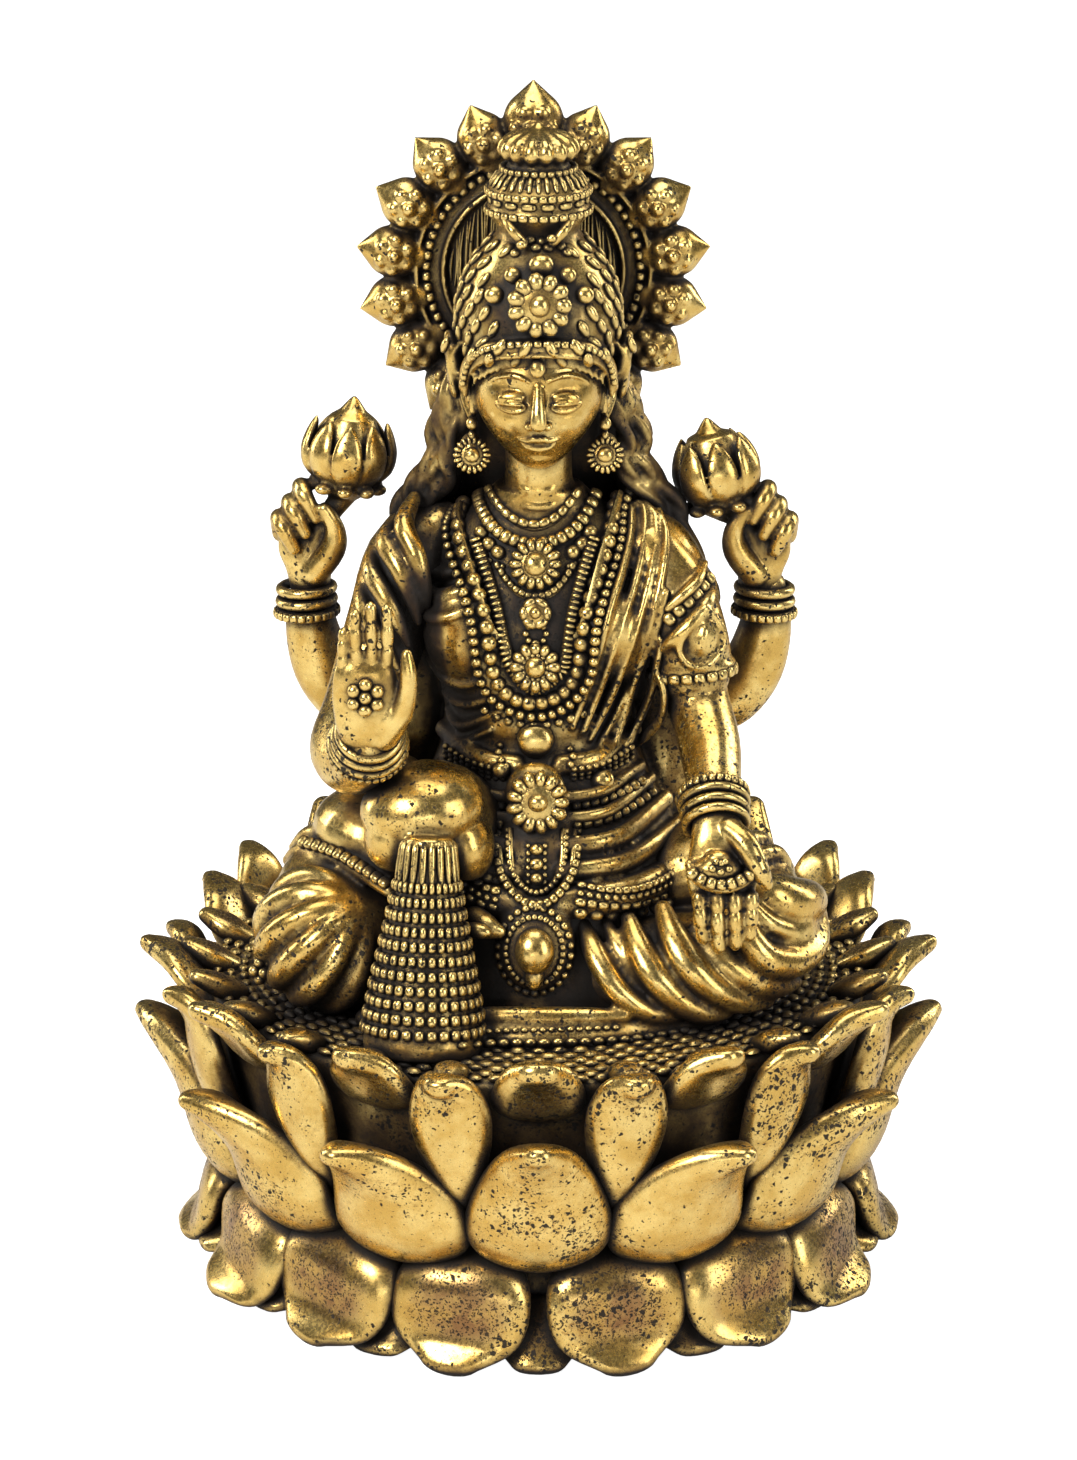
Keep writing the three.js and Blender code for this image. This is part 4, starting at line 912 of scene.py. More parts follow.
armSizes = {
    "grain": 0.26,
    "keep": 0.4,
    "handGrain": 0.17,
    "handKeep": 0.45,
    "boneShares": (0.5, 0.88, 1.0, 0.88, 0.45),  # a finger bone's width along its length
    "bangle": 0.46,
    "wristRing": 0.52,
    "armlet": (4.15, 21, "block", (0.6, 0.56, 0.46)),  # radius, number, kind and half sizes of its beads
    "rightCuff": (3.7, 34, "block", (0.36, 0.44, 0.4)),
    "leftCuff": (3.3, 28, "block", (0.4, 0.46, 0.4)),
    "wristCuff": (3.1, 24, "block", (0.42, 0.4, 0.3)),
    "sleeveBeads": [(0, "block", (0.62, 0.66, 0.5), 1.3)],
    "coins": [(0.05, "block", (0.52, 0.6, 0.5), 1.05)],
    "heap": [(0, "pearl", (0.4, 0.36, 0.3), 0.8), (-0.8, "pearl", (0.4, 0.36, 0.3), 0.9)],
}


def openHand(palm, fingers, thumb, radius):
    parts = [roll(*palm, sides=28, steps=16)]
    for line in fingers:  # three bones each
        spots = [place(*point) for point in line]
        for k in range(3):
            a, b = easy(spots, k / 3 + 0.02), easy(spots, (k + 1) / 3 - 0.02)
            size = radius * (1.0, 0.98, 0.92)[k]
            over = (b - a).normalized() * size * 0.22 * mm
            bone = [a - over, a, (a + b) / 2, b, b + over]
            parts.append(limb(bone, [size * k for k in armSizes["boneShares"]], sides=16, steps=10))
    parts.append(roll(*thumb, sides=20, steps=14))
    return parts


def openBud(foot, tip):
    foot, tip = place(*foot), place(*tip)
    axis = tip - foot
    length = axis.length / mm
    turn = axis.to_track_quat("Z", "Y")
    parts = []

    def at(r, a, h):
        return foot + turn @ (Vector((r * math.cos(a), r * math.sin(a), h)) * mm)

    heart = [(0, 0), (2.7, 0.4), (3.3, 2.0), (3.35, 3.6), (3.0, 5.2), (2.3, 6.9)]
    point = [(1.35, length - 1.5), (0.5, length - 0.4), (0.15, length - 0.05), (0, length)]
    parts.append(turned(heart + point, foot, axis, 32))
    for k in range(8):  # petals that hug it, every other one a little looser
        a = math.tau * (k + 0.5) / 8
        loose = 0.35 * (k % 2)
        bulge = [(2.5, 0.5), (3.5 + loose, 1.8), (3.85 + loose, 3.4), (3.6 + loose, 4.8)]
        bulge += [(3.15 + loose * 1.4, 5.9), (2.9 + loose * 1.8, 6.5)]
        line = [at(r, a, h) for r, h in bulge]
        side = turn @ Vector((-math.sin(a), math.cos(a), 0))
        wide, thick = [1.2, 1.5, 1.55, 1.3, 0.75, 0.2], [0.45, 0.6, 0.62, 0.55, 0.4, 0.2]
        parts.append(limb(line, wide, thick, side=side, sides=14, steps=14))
    for k in range(9):  # collar
        a = math.tau * k / 9
        parts.append(ball(at(3.2, a, -0.1), (0.85, 1.05, 0.62), (0, 0, math.degrees(a)), finer=14))
    cup = [(0, -1.6), (1.3, -1.4), (2.4, -0.6), (3.0, 0.2), (2.6, 0.9), (0, 1)]
    parts.append(turned(cup, foot, axis, 24))
    return parts


# A hand that holds a bud; s is the side of the body
def buddedHand(s, x, y, z, foot, tip):

    def off(*steps):
        return [(x + dx * s, y + dy, z + dz) for dx, dy, dz in steps]

    palm = off((0, 0, -6.6), (0.1, -0.1, -4), (0.3, 0, -1.6), (0.7, 0.2, 1.4))
    stem = [*off((0.6, -1, -3.4), (-1.4, -0.9, 1.0)), (foot[0] - 0.2 * s, foot[1], foot[2] - 0.6)]
    thumb = off((-0.4, -1.2, -4), (-2.3, -2.0, -1.4), (-2.6, -2.3, 0.8), (-1.6, -2.5, 2.9))
    parts = [
        roll(palm, [1.9, 2.3, 2.9, 2.2], [1.8, 1.9, 1.9, 1.5], sides=24, steps=12),
        roll(stem, [0.9, 1.0, 1.3], sides=14, steps=10),
        roll(thumb, [1.5, 1.35, 1.0, 0.7], sides=18, steps=12),
    ]
    for i in range(3):
        up, out = 4.2 - 1.6 * i, 0.2 + 1.1 * i
        bent = [(0.5, 1.2, -1.6), (0.6, -0.6, 0.5), (0.1, -2.3, -0.2), (-0.9, -2.3, -2.2)]
        finger = off(*((dx + out, dy, dz + up) for dx, dy, dz in bent))
        parts.append(roll(finger, [0.95, 0.95, 0.88, 0.7], sides=16, steps=14))
    return parts + openBud(foot, tip)


def ringAt(centre, axis, radius, thick, tall=1.0):
    bpy.ops.object.select_all(action="DESELECT")
    bpy.ops.mesh.primitive_torus_add(
        major_segments=40, minor_segments=10, major_radius=radius * mm, minor_radius=thick * mm,
    )
    obj = bpy.context.object
    obj.location = place(*centre)
    obj.scale = (1, 1, tall)
    obj.rotation_euler = Vector(axis).to_track_quat("Z", "Y").to_euler()
    return settle(obj)


def makeArms():
    sizes = armSizes
    blessing = [(-9.6, 0, 45.6), (-12.4, -0.8, 43), (-14.8, -2.8, 37), (-17.2, -7, 29.6), (-18.3, -11, 26.4)]
    blessing += [(-17.2, -16, 27), (-16.4, -19.6, 29.6)]
    parts = [roll(blessing, [3, 4.6, 4.2, 4.0, 4.2, 3.1, 2.3], sides=28, steps=28), *upperArm()]
    # cloth wound over her right shoulder
    sleeve = [
        ([
            (-12.2, -1.0, 49.2), (-13.2, -5.2, 47.6), (-11.9, -7.4, 45.0), (-11.2, -7.6, 42.0),
            (-11.0, -7.0, 39.6),
        ], [0.7, 1.05, 1.0, 0.8, 0.4]),
        ([
            (-14.2, -1.2, 47.0), (-15.0, -4.8, 45.8), (-13.6, -7.2, 43.8), (-12.4, -7.9, 41.0),
            (-11.8, -7.6, 38.4),
        ], [0.7, 1.05, 1.05, 0.85, 0.4]),
        ([
            (-16.1, -1.4, 44.4), (-16.5, -4.8, 43.0), (-15.2, -7.2, 41.2), (-13.8, -8.0, 38.8),
            (-12.8, -8.0, 36.2),
        ], [0.7, 0.95, 1.0, 0.8, 0.4]),
        ([
            (-17.4, -1.6, 41.4), (-17.4, -5.0, 39.8), (-16.4, -7.2, 38.0), (-15.0, -8.2, 35.8),
            (-13.8, -8.4, 33.6),
        ], [0.6, 0.85, 0.85, 0.7, 0.4]),
    ]
    for points, wide in sleeve:
        parts.append(roll(points, wide, [w * 1.1 for w in wide], sides=16, steps=18))
    # sleeve on the other side: hem, rolled edge and leaf
    parts.append(ringAt((15.2, -4.6, 33.2), (-0.08, 0.1, 1), 3.95, 0.4))
    parts.append(roll([
        (17.2, -3.4, 41.2), (16.6, -6.6, 40.2), (15.2, -8.1, 38.7), (13.4, -8.4, 37.0),
        (12.0, -7.6, 35.6),
    ], [0.5, 0.75, 0.8, 0.75, 0.5], sides=14, steps=18))
    edge = [(16.4, -3.2, 43.2), (15.6, -6.2, 42.2), (14.2, -7.6, 41.2), (12.6, -7.8, 39.8)]
    parts.append(roll(edge, [0.4, 0.55, 0.55, 0.4], sides=12, steps=16))
    leaf = [
        (16.3, -8.1, 40.0), (14.6, -8.9, 38.0), (13.8, -8.9, 36.0), (14.8, -8.9, 34.4),
        (16.6, -8.6, 34.3), (18.1, -7.4, 35.8), (18.0, -7.2, 37.8), (16.5, -8.0, 40.0),
    ]
    parts.append(roll(leaf, [0.25, 0.34, 0.36, 0.36, 0.36, 0.36, 0.34, 0.25], sides=12, steps=40))
    parts.append(mass((16.0, -7.7, 36.7), (1.7, 1.25, 2.2), (0, 12, 12)))
    parts.append(mass((16.1, -8.6, 36.9), (0.62, 0.6, 1.5), (0, 12, 12)))
    raised = [
        (-16.2, -19.0, 29.4), (-16.4, -20.4, 31.0), (-16.5, -21.0, 33.2), (-16.6, -21.2, 35.6),
        (-16.7, -21.3, 37.6), (-16.7, -21.3, 38.6),
    ], [2.5, 2.9, 3.2, 3.25, 2.95, 2.5], [1.9, 1.7, 1.55, 1.4, 1.15, 0.7]
    fingers = [
        [(-18.75, -21.3, 37.8), (-18.7, -21.5, 40.0), (-18.6, -21.3, 41.7)],
        [(-17.4, -21.5, 38.2), (-17.5, -21.9, 41.0), (-17.5, -21.8, 43.6)],
        [(-15.95, -21.5, 38.4), (-16.0, -22.0, 41.4), (-16.05, -21.9, 44.4)],
        [(-14.5, -21.5, 38.2), (-14.5, -21.9, 41.2), (-14.55, -21.8, 44.1)],
    ]
    thumb = [
        (-15.0, -20.8, 30.8), (-13.4, -21.4, 33.2), (-12.6, -21.9, 35.6), (-12.5, -22.1, 37.6),
        (-12.65, -22.0, 39.4),
    ], [1.5, 1.35, 0.95, 0.82, 0.55]
    hands = openHand(raised, fingers, thumb, 0.64)
    hands.append(mass((-14.4, -21.3, 32.6), (1.7, 1.3, 2.4), (0, 24, 0)))
    hands.append(mass((-18.4, -21.0, 33.4), (1.3, 1.3, 2.9)))
    giving = [
        (17.3, -19.4, 21.6), (17.5, -20.6, 20.2), (17.7, -21.3, 18.4), (17.8, -21.6, 16.4),
        (17.9, -21.7, 14.9),
    ], [2.4, 2.8, 3.3, 3.45, 3.1], [1.6, 1.35, 1.1, 1.0, 0.8]
    fingers = [
        [(15.6, -22.3, 15.4), (15.7, -22.9, 13.0), (16.1, -22.8, 10.6)],
        [(17.3, -22.5, 15.4), (17.4, -23.2, 12.6), (17.5, -23.1, 9.7)],
        [(19.0, -22.5, 15.4), (19.1, -23.2, 12.7), (19.1, -23.1, 10.1)],
        [(20.6, -22.3, 15.4), (20.6, -22.9, 13.0), (20.4, -22.8, 10.9)],
    ]
    thumb = [
        (18.4, -20.6, 21.4), (19.9, -21.9, 20.4), (20.9, -22.8, 18.9), (21.6, -23.1, 17.5),
        (22.1, -22.9, 16.4),
    ], [1.2, 1.25, 1.1, 0.92, 0.6]
    hands += openHand(giving, fingers, thumb, 0.8)
    hands.append(roll([
        (14.6, -22.0, 18.2), (15.3, -22.9, 17.0), (16.4, -23.3, 16.4), (17.7, -23.5, 16.2),
        (19.0, -23.3, 16.4), (20.2, -22.9, 17.0), (20.9, -22.0, 18.2),
    ], [0.5] * 7, side=(0, 0, 1), sides=12, steps=24))
    hands.append(mass((17.4, -22.4, 17.9), (2.4, 1.5, 1.3), (18, 0, 0)))
    hands.append(mass((17.4, -22.5, 19.0), (1.3, 1.0, 0.8)))
    # raised arms behind
    behind = [
        (7, 1, 42), (11, 3, 35), (14.6, 4.8, 28.8), (18.0, 5.4, 26.4), (21.2, 5.3, 29.4),
        (22.7, 5.0, 34), (22.8, 4.6, 38.5),
    ]
    for s in (-1, 1):
        line = [(x * s, y, z) for x, y, z in behind]
        parts.append(roll(line, [2.4, 3.3, 3.3, 3.3, 3.2, 2.7, 2.0], sides=24, steps=30))
    hands += buddedHand(-1, -22.8, 4.4, 44.4, (-19.2, 4.2, 49.2), (-18.2, 4.6, 58.2))
    hands += buddedHand(1, 22, 4.4, 44.2, (18.3, 4.2, 47.4), (16.6, 4.6, 56))
    arms = finished(fused(parts, "arms", sizes["grain"], sizes["keep"]), look=darkBrass)
    return arms, finished(fused(hands, "hands", sizes["handGrain"], sizes["handKeep"]), look=smallBrass)


torso = makeTorso()
lap = makeLap()
arms, hands = makeArms()
print("body done")

# Head, crown and pot

# across, height, spread across, spread up, and how far it stands out, for one half of the face
faceMasses = [
    (0.0, 64.2, 2.6, 1.4, 0.10), (2.7, 62.7, 1.7, 0.7, -0.30), (1.15, 61.6, 0.5, 1.0, -0.40),
    (2.6, 61.3, 1.3, 0.75, 0.35), (3.2, 58.8, 1.8, 1.6, 0.40), (2.4, 56.4, 0.9, 1.1, -0.08),
    (0.0, 54.7, 1.4, 0.9, 0.45), (0.0, 55.6, 1.4, 0.4, -0.22), (0.0, 57.1, 1.9, 1.0, 0.35),
    (2.6, 60.2, 1.4, 0.4, -0.10), (0.0, 60.4, 1.5, 2.0, 0.35),
]
headSizes = {
    "grain": 0.13,
    "keep": 0.5,
    "halfWide": 6.25,
    "halfTall": 8.3,
    "middle": 61.6,  # height above the seat
    "axis": -4.7,  # where its middle stands, from front to back
    "facing": 6.3,  # depth of the front half
    "behind": 6.6,
}


def headDepth(sx, y, sz):
    sizes = headSizes
    z = (sz - sizes["middle"]) / sizes["halfTall"]
    deep = sizes["facing"] if y < 0 else sizes["behind"]
    sy = sizes["axis"] + deep * y * (1 - 0.12 * smoothShare(-z, 0.2, 1.0))
    if y < 0:
        ahead = smoothShare(-y, 0.0, 0.45)
        for cx, cz, wx, wz, proud in faceMasses:
            for s in ((1, -1) if cx else (1,)):
                sy -= ahead * proud * math.exp(-((sx - cx * s) / wx) ** 2 - ((sz - cz) / wz) ** 2)
    return sy


def jawShare(z):
    return 1 - 0.25 * smoothShare(-z, 0.15, 1.0) + 0.02 * smoothShare(z, 0, 0.6)


def onFace(x, z, proud):
    up = (z - headSizes["middle"]) / headSizes["halfTall"]
    across = x / (headSizes["halfWide"] * jawShare(up))
    return (x, headDepth(x, -math.sqrt(max(1 - across * across - up * up, 0)), z) - proud, z)


def headShape():
    bpy.ops.object.select_all(action="DESELECT")
    bpy.ops.mesh.primitive_uv_sphere_add(segments=224, ring_count=168, radius=1)
    obj = inOrder(bpy.context.object)
    for corner in obj.data.vertices:
        x, y, z = corner.co
        sx = headSizes["halfWide"] * x * jawShare(z)
        sz = headSizes["middle"] + headSizes["halfTall"] * z
        corner.co = place(sx, headDepth(sx, y, sz), sz)
    return settle(obj)


def makeHead():
    parts = [headShape()]
    # nose and lips
    ridge = [onFace(0, z, proud) for z, proud in ((62.9, -0.3), (61.6, 0.1), (60.4, 0.55), (59.5, 0.9))]
    parts.append(roll(ridge, [0.5, 0.62, 0.74, 0.8], [0.5, 0.62, 0.7, 0.66], sides=20, steps=12))
    parts.append(mass(onFace(0, 59.35, 0.85), (0.78, 0.74, 0.6)))
    strokes = [  # lips, lids and brow of one half: points, how proud, widths, sides and steps
        (
            [(1.85, 57.55), (1.0, 57.5), (0.4, 57.72), (0, 57.6)], 0.1, [0.14, 0.3, 0.36, 0.32],
            [0.16, 0.34, 0.4, 0.36], 14, 12,
        ),
        ([(1.6, 57.1), (0.9, 56.72), (0, 56.6)], 0.1, [0.14, 0.36, 0.44], [0.16, 0.4, 0.46], 14, 10),
        (
            [(1.15, 61.0), (1.7, 61.25), (2.5, 61.3), (3.3, 61.25), (4.1, 61.05)], 0.12,
            [0.12, 0.22, 0.26, 0.22, 0.12], None, 12, 14,
        ),
        (
            [(1.2, 60.85), (1.8, 60.55), (2.6, 60.42), (3.4, 60.55), (4.1, 60.9)], 0.08,
            [0.08, 0.15, 0.17, 0.15, 0.08], None, 10, 14,
        ),
        (
            [(4.9, 62.8), (4.0, 63.55), (2.8, 63.95), (1.7, 63.85), (0.8, 63.4)], 0.08,
            [0.08, 0.17, 0.22, 0.2, 0.08], None, 12, 16,
        ),
    ]
    for s in (-1, 1):
        parts.append(mass(onFace(0.86 * s, 59.1, 0.35), (0.5, 0.66, 0.45)))
        parts.append(mass(onFace(2.6 * s, 61.75, -0.24), (1.4, 0.5, 0.66), (0, 4 * s, 12 * s), 32))
        for points, proud, wide, thick, sides, steps in strokes:
            line = [onFace(x * s, z, proud) for x, z in points]
            parts.append(roll(line, wide, thick, side=(0, 0, 1), sides=sides, steps=steps))
        ear = [(6.5, -4.6, 58.6), (7.1, -3.8, 59.8), (7.3, -3.2, 61.4), (6.9, -3.8, 62.6), (6.5, -4.8, 62.0)]
        ear += [(6.4, -5.2, 60.6), (6.35, -5.2, 59.2)]
        rim = [(x * s, y, z) for x, y, z in ear]
        parts.append(roll(rim, [0.5, 0.42, 0.5, 0.45, 0.36, 0.34, 0.4], sides=12, steps=24))
        parts.append(mass((6.4 * s, -4.2, 60.3), (0.7, 0.9, 1.7)))
    return finished(fused(parts, "head", headSizes["grain"], headSizes["keep"]), look=faceBrass)


crownSizes = {
    "grain": 0.2,
    "keep": 0.55,
    "axis": -3.2,  # from front to back
    "potAxis": -3.4,
    "hairs": 22,  # strokes of hair under the band
    "gores": 14,  # of the pot's lid
    "ribs": 32,  # of its shoulder
    "jewel": (2.9, 11),  # radius, and leaves round the rim
    "scaleRows": 8,
    "scaleStep": 1.42,  # mm from row to row
    "scale": (1.02, 0.52, 0.42),
    "bandBeads": [(0, "block", (0.42, 0.34, 0.34), 0.9)],
    "potBeads": [  # height, radius, number and half sizes
        (82.9, 3.5, 28, (0.38, 0.36, 0.34)), (80.8, 5.0, 36, (0.42, 0.34, 0.3)),
        (78.9, 5.05, 32, (0.48, 0.36, 0.3)), (80.0, 4.65, 16, (0.7, 0.4, 0.36)),
    ],
    "cap": [
        (0, 62.6), (6.3, 62.8), (7.4, 64.8), (7.95, 67.2), (7.9, 69.4), (7.4, 71.5),
        (6.5, 73.5), (5.3, 75.1), (4.2, 76.4), (3.4, 77.6), (0, 78),
    ],
    "pot": [
        (0, 75.2), (4.4, 75.6), (3.8, 76.8), (4.1, 77.4), (4.7, 78.2), (5.0, 78.7), (5.05, 79.2),
        (4.75, 79.6), (4.6, 80.0), (4.95, 80.5), (5.0, 81.0), (4.6, 81.4), (4.2, 82.1), (3.7, 82.5),
        (3.3, 82.9), (2.9, 83.4), (2.8, 83.9), (3.2, 84.2), (3.6, 84.7), (3.55, 85.2), (2.9, 85.8),
        (1.7, 86.4), (0.7, 86.9), (0.15, 87.4), (0, 87.45),
    ],
}


def makeCrown():
    sizes = crownSizes
    parts = [turned(sizes["cap"], place(0, sizes["axis"], 0), steps=96)]
    half = [(7.3, -5.2, 61.6), (6.9, -6.8, 64.2), (5.2, -9.6, 66.2), (2.8, -11.1, 66.9)]
    band = [(-x, y, z) for x, y, z in half] + [(0, -11.6, 67.1)] + half[::-1]
    parts.append(roll(band, [0.75] * 9, [0.5] * 9, side=(0, 0, 1), sides=16, steps=48))
    under = [(x * 0.97, y - 0.35, z - 0.75) for x, y, z in band]
    parts.append(roll(under, [0.3] * 9, side=(0, 0, 1), sides=10, steps=48))
    for i in range(sizes["hairs"]):
        u = (i + 0.5) * 2 / sizes["hairs"] - 1
        x, z = 5.9 * u, 66.1 - 2.9 * abs(u) ** 2.4
        y = -3.9 - 6.5 * math.sqrt(max(1 - (x / 6.9) ** 2, 0))
        hair = [(x, y + 0.4, z + 0.5), (x * 1.03 + 0.25 * u, y + 0.05, z - 0.35)]
        hair.append((x * 1.04 + 0.5 * u, y + 0.2, z - 1.2))
        parts.append(roll(hair, [0.26, 0.3, 0.12], sides=8, steps=6))
    for s in (-1, 1):  # side leaves
        parts.append(mass((8.2 * s, -3.4, 64.2), (0.9, 1.9, 2.6), (0, 12 * s, 0)))
        parts.append(mass((8.3 * s, -2.6, 61.6), (0.6, 1.3, 1.9), (0, 8 * s, 0)))
        line = [(7.6 * s, -5.3, 66.0), (8.6 * s, -4.6, 64.0), (8.3 * s, -4.4, 61.6)]
        parts.append(roll(line, [0.25, 0.45, 0.2], sides=10, steps=10))
    # pot and its lid
    axis = sizes["potAxis"]
    parts.append(turned(sizes["pot"], place(0, axis, 0), steps=96))
    gore = [(2.9, 84.1), (3.45, 84.7), (3.15, 85.5), (1.9, 86.2), (0.7, 86.8)]
    wide, thick = [0.5, 0.7, 0.62, 0.38, 0.12], [0.45, 0.6, 0.55, 0.4, 0.12]
    for i in range(sizes["gores"]):
        a = math.tau * i / sizes["gores"]
        c, s = math.cos(a), math.sin(a)
        line = [(r * c, axis + r * s, z) for r, z in gore]
        parts.append(roll(line, wide, thick, side=(-s, c, 0), sides=12, steps=12))
    for s in (-1, 1):
        line = [(3.2 * s, -7.0, 78.6), (2.5 * s, -8.2, 77.8), (1.4 * s, -8.3, 76.6)]
        parts.append(roll(line, [0.42, 0.5, 0.45], sides=12, steps=10))
    return finished(fused(parts, "crownAndPot", sizes["grain"], sizes["keep"]), look=crownBrass)


haloSizes = {
    "grain": 0.18,
    "keep": 0.38,
    "middle": (-0.5, 6, 70.7),
    "sideBuds": 7,
    "budAngle": 20.6,
    "budFoot": 11.5,  # distance from the middle
    "topBud": 1.16,  # size of the top one beside the others
    "budWide": (1.6, 2.3, 2.6, 2.55, 2.1, 1.2, 0.2),
    "budRows": (0, 1, 2, 3, 4.1, 5, 5.95),
    "lumps": 6,  # round the boss of each bud
    "streaks": 46,  # fine strokes on the plate
    "streakReach": 8.4,
    "beads": 62,
    "plate": [
        (0, -1.2), (12.0, -1.2), (12.7, -0.9), (12.95, -0.3), (12.6, 0.2), (11.95, 0.5), (11.8, 1.3),
        (11.35, 1.4), (11.2, 0.5), (9.9, 0.55), (9.25, 0.45), (9.1, 1.1), (8.7, 1.15), (8.5, 0.4),
        (0, 0.4),
    ],
}


def makeHalo():
    sizes = haloSizes
    cx, cy, cz = sizes["middle"]
    parts = [turned(sizes["plate"], place(cx, cy, cz), (0, -1, 0), 128)]
    # neck behind the head
    parts.append(turned([(0, 0), (5.4, 0), (4.8, 6), (0, 6)], place(0, 0, 66), (0, 1, 0), 32))
    for i in range(-sizes["sideBuds"], sizes["sideBuds"] + 1):
        a = math.radians(i * sizes["budAngle"])
        out = Vector((math.sin(a), 0, math.cos(a)))
        aside = Vector((math.cos(a), 0, -math.sin(a)))
        more = 1 if i else sizes["topBud"]
        foot = Vector((cx, cy - 0.1, cz)) + out * (sizes["budFoot"] + (0 if i else 0.4))

        def at(up, side=0.0, near=0.0):
            spot = foot + out * (up * more) + aside * (side * more)
            return (spot.x, spot.y - near * more, spot.z)

        wide = [r * more for r in sizes["budWide"]]
        line = [at(up) for up in sizes["budRows"]]
        parts.append(roll(line, wide, [w * 0.9 for w in wide], side=aside, sides=24, steps=20))
        parts.append(mass(at(2.3, 0, 2.4), [0.66 * more] * 3, finer=20))
        for k in range(sizes["lumps"]):
            b = math.tau * (k + 0.5) / sizes["lumps"]
            up, side = 2.3 + 1.45 * math.cos(b), 1.45 * math.sin(b)
            parts.append(mass(at(up, side, 1.65), [0.7 * more] * 3, finer=16))
        for side in (-0.62, 0.62):
            parts.append(mass(at(4.3, side, 0.75), [0.5 * more, 0.5 * more, 0.8 * more], finer=12))
    halo = fused(parts, "halo", sizes["grain"], sizes["keep"])
    streaks = []
    for i in range(sizes["streaks"]):
        x = -8.3 + 16.6 * (i + 0.5) / sizes["streaks"]
        reach = math.sqrt(max(sizes["streakReach"] ** 2 - x * x, 0.2))
        bow = chance.uniform(-0.3, 0.3)
        line = [(cx + x, cy - 0.45, cz - reach * 0.5), (cx + x + bow, cy - 0.5, cz + reach * 0.25)]
        line.append((cx + x * 0.97, cy - 0.45, cz + reach * 0.97))
        streaks.append(roll(line, [0.12, 0.2 + chance.random() * 0.06, 0.1], sides=6, steps=8))
    finished(halo, look=haloBrass)
    return halo, finished(facingOut(joined(streaks, "haloStreaks")))


# Hair

hairSizes = {
    "grain": 0.24,
    "keep": 0.5,
    "front": (3, 0.62),  # locks of a side, and their radius
    "side": (6, 0.7),
    "back": (11, 0.75),
    "turns": 3.2,  # of a lock's two strands round each other
    "sway": 0.35,
}


# Wavy strands spread between two lines
def tresses(edge, other, count, radius, parts):
    sway = hairSizes["sway"]
    for i in range(count):
        u = i / max(count - 1, 1)
        phase = chance.uniform(0, math.tau)
        line = []
        for n, (a, b) in enumerate(zip(edge, other)):
            x, y, z = (a[k] + (b[k] - a[k]) * u for k in range(3))
            x += sway * math.sin(phase + 2.1 * n)
            y += 0.3 * sway * math.cos(phase + 1.7 * n)
            line.append((x, y, z))
        size = radius * chance.uniform(0.8, 1.2)
        wide = [size * k for k in [0.8] + [1.0] * (len(line) - 2) + [0.45]]
        parts.append(roll(line, wide, [w * 0.8 for w in wide], sides=8, steps=26))


# Locks of two strands twisted round each other, spread between two lines
def twistedLocks(edge, other, count, radius, parts):
    last = 24
    for i in range(count):
        u = (i + 0.5) / count
        phase = chance.uniform(0, math.tau)
        middle = [Vector([a[k] + (b[k] - a[k]) * u for k in range(3)]) for a, b in zip(edge, other)]
        for half in (0, math.pi):
            line = []
            for n in range(last + 1):
                spot = easy(middle, n / last)
                a = phase + half + math.tau * hairSizes["turns"] * n / last
                bend = 0.45 * math.sin(phase + n * 0.75)
                x, y = spot.x + radius * 0.75 * math.cos(a) + bend, spot.y + radius * 0.6 * math.sin(a)
                line.append((x, y, spot.z))
            wide = [radius * k for k in (0.7, 1.0, 1.0, 1.0, 1.0, 0.9, 0.4)]
            parts.append(roll(line, wide, sides=10, steps=48))


def makeHair():
    parts = []
    sides = [
        [
            (6.6, -2.8, 63.0), (7.3, -2.6, 58.6), (7.9, -2.0, 54.6), (8.9, -1.2, 51.2),
            (10.8, 0.4, 47.4), (12.8, 1.0, 43.0), (13.6, 1.4, 38.6),
        ],
        [
            (8.0, -1.2, 63.6), (9.3, -0.6, 58.8), (10.5, 0.2, 54.6), (12.0, 0.9, 51.0),
            (14.3, 2.0, 46.8), (16.9, 2.8, 41.6), (17.9, 3.0, 36.6),
        ],
        [
            (4.6, 3.0, 63.6), (5.6, 5.2, 57.6), (6.6, 6.0, 51.6), (8.4, 6.4, 46.0), (9.8, 6.6, 40.6),
            (9.2, 6.8, 35.0), (7.6, 6.8, 30.6),
        ],
        [(6.4, 1.4, 62), (7.4, 2.0, 55.6), (9.4, 3.2, 49.6), (12.6, 3.8, 43.8), (15.0, 3.8, 38.5)],
    ]
    for s in (-1, 1):
        inner, outer, back, core = [[(x * s, y, z) for x, y, z in line] for line in sides]
        parts.append(roll(core, [0.9, 1.3, 1.6, 1.4, 0.9], [0.8, 0.9, 1.0, 0.9, 0.6], sides=16, steps=16))
        twistedLocks(inner, outer, *hairSizes["front"], parts)
        twistedLocks(outer, back, *hairSizes["side"], parts)
    fall = [(0, 0.6, 62), (0, 4.2, 54), (0, 5.8, 46), (0, 5.8, 36), (0, 5.6, 28)]
    parts.append(roll(fall, [6.2, 7.4, 8.2, 6.4, 2.6], [2.6, 3.2, 3.0, 2.4, 1.4], sides=24, steps=18))
    left = [
        (-4.8, 2.6, 64), (-6.0, 5.6, 57.6), (-7.4, 7.2, 51), (-8.0, 8.2, 44), (-6.8, 8.2, 37),
        (-4.2, 7.6, 31), (-1.8, 7.0, 26.4),
    ]
    right = [(-x, y, z) for x, y, z in left]
    middle = [(0, y + 0.9, z - (1.4 if n == 6 else 0)) for n, (x, y, z) in enumerate(left)]
    tresses(left, middle, *hairSizes["back"], parts)
    tresses(middle, right, *hairSizes["back"], parts)
    return finished(fused(parts, "hair", hairSizes["grain"], hairSizes["keep"], soften=0), look=hairBrass)


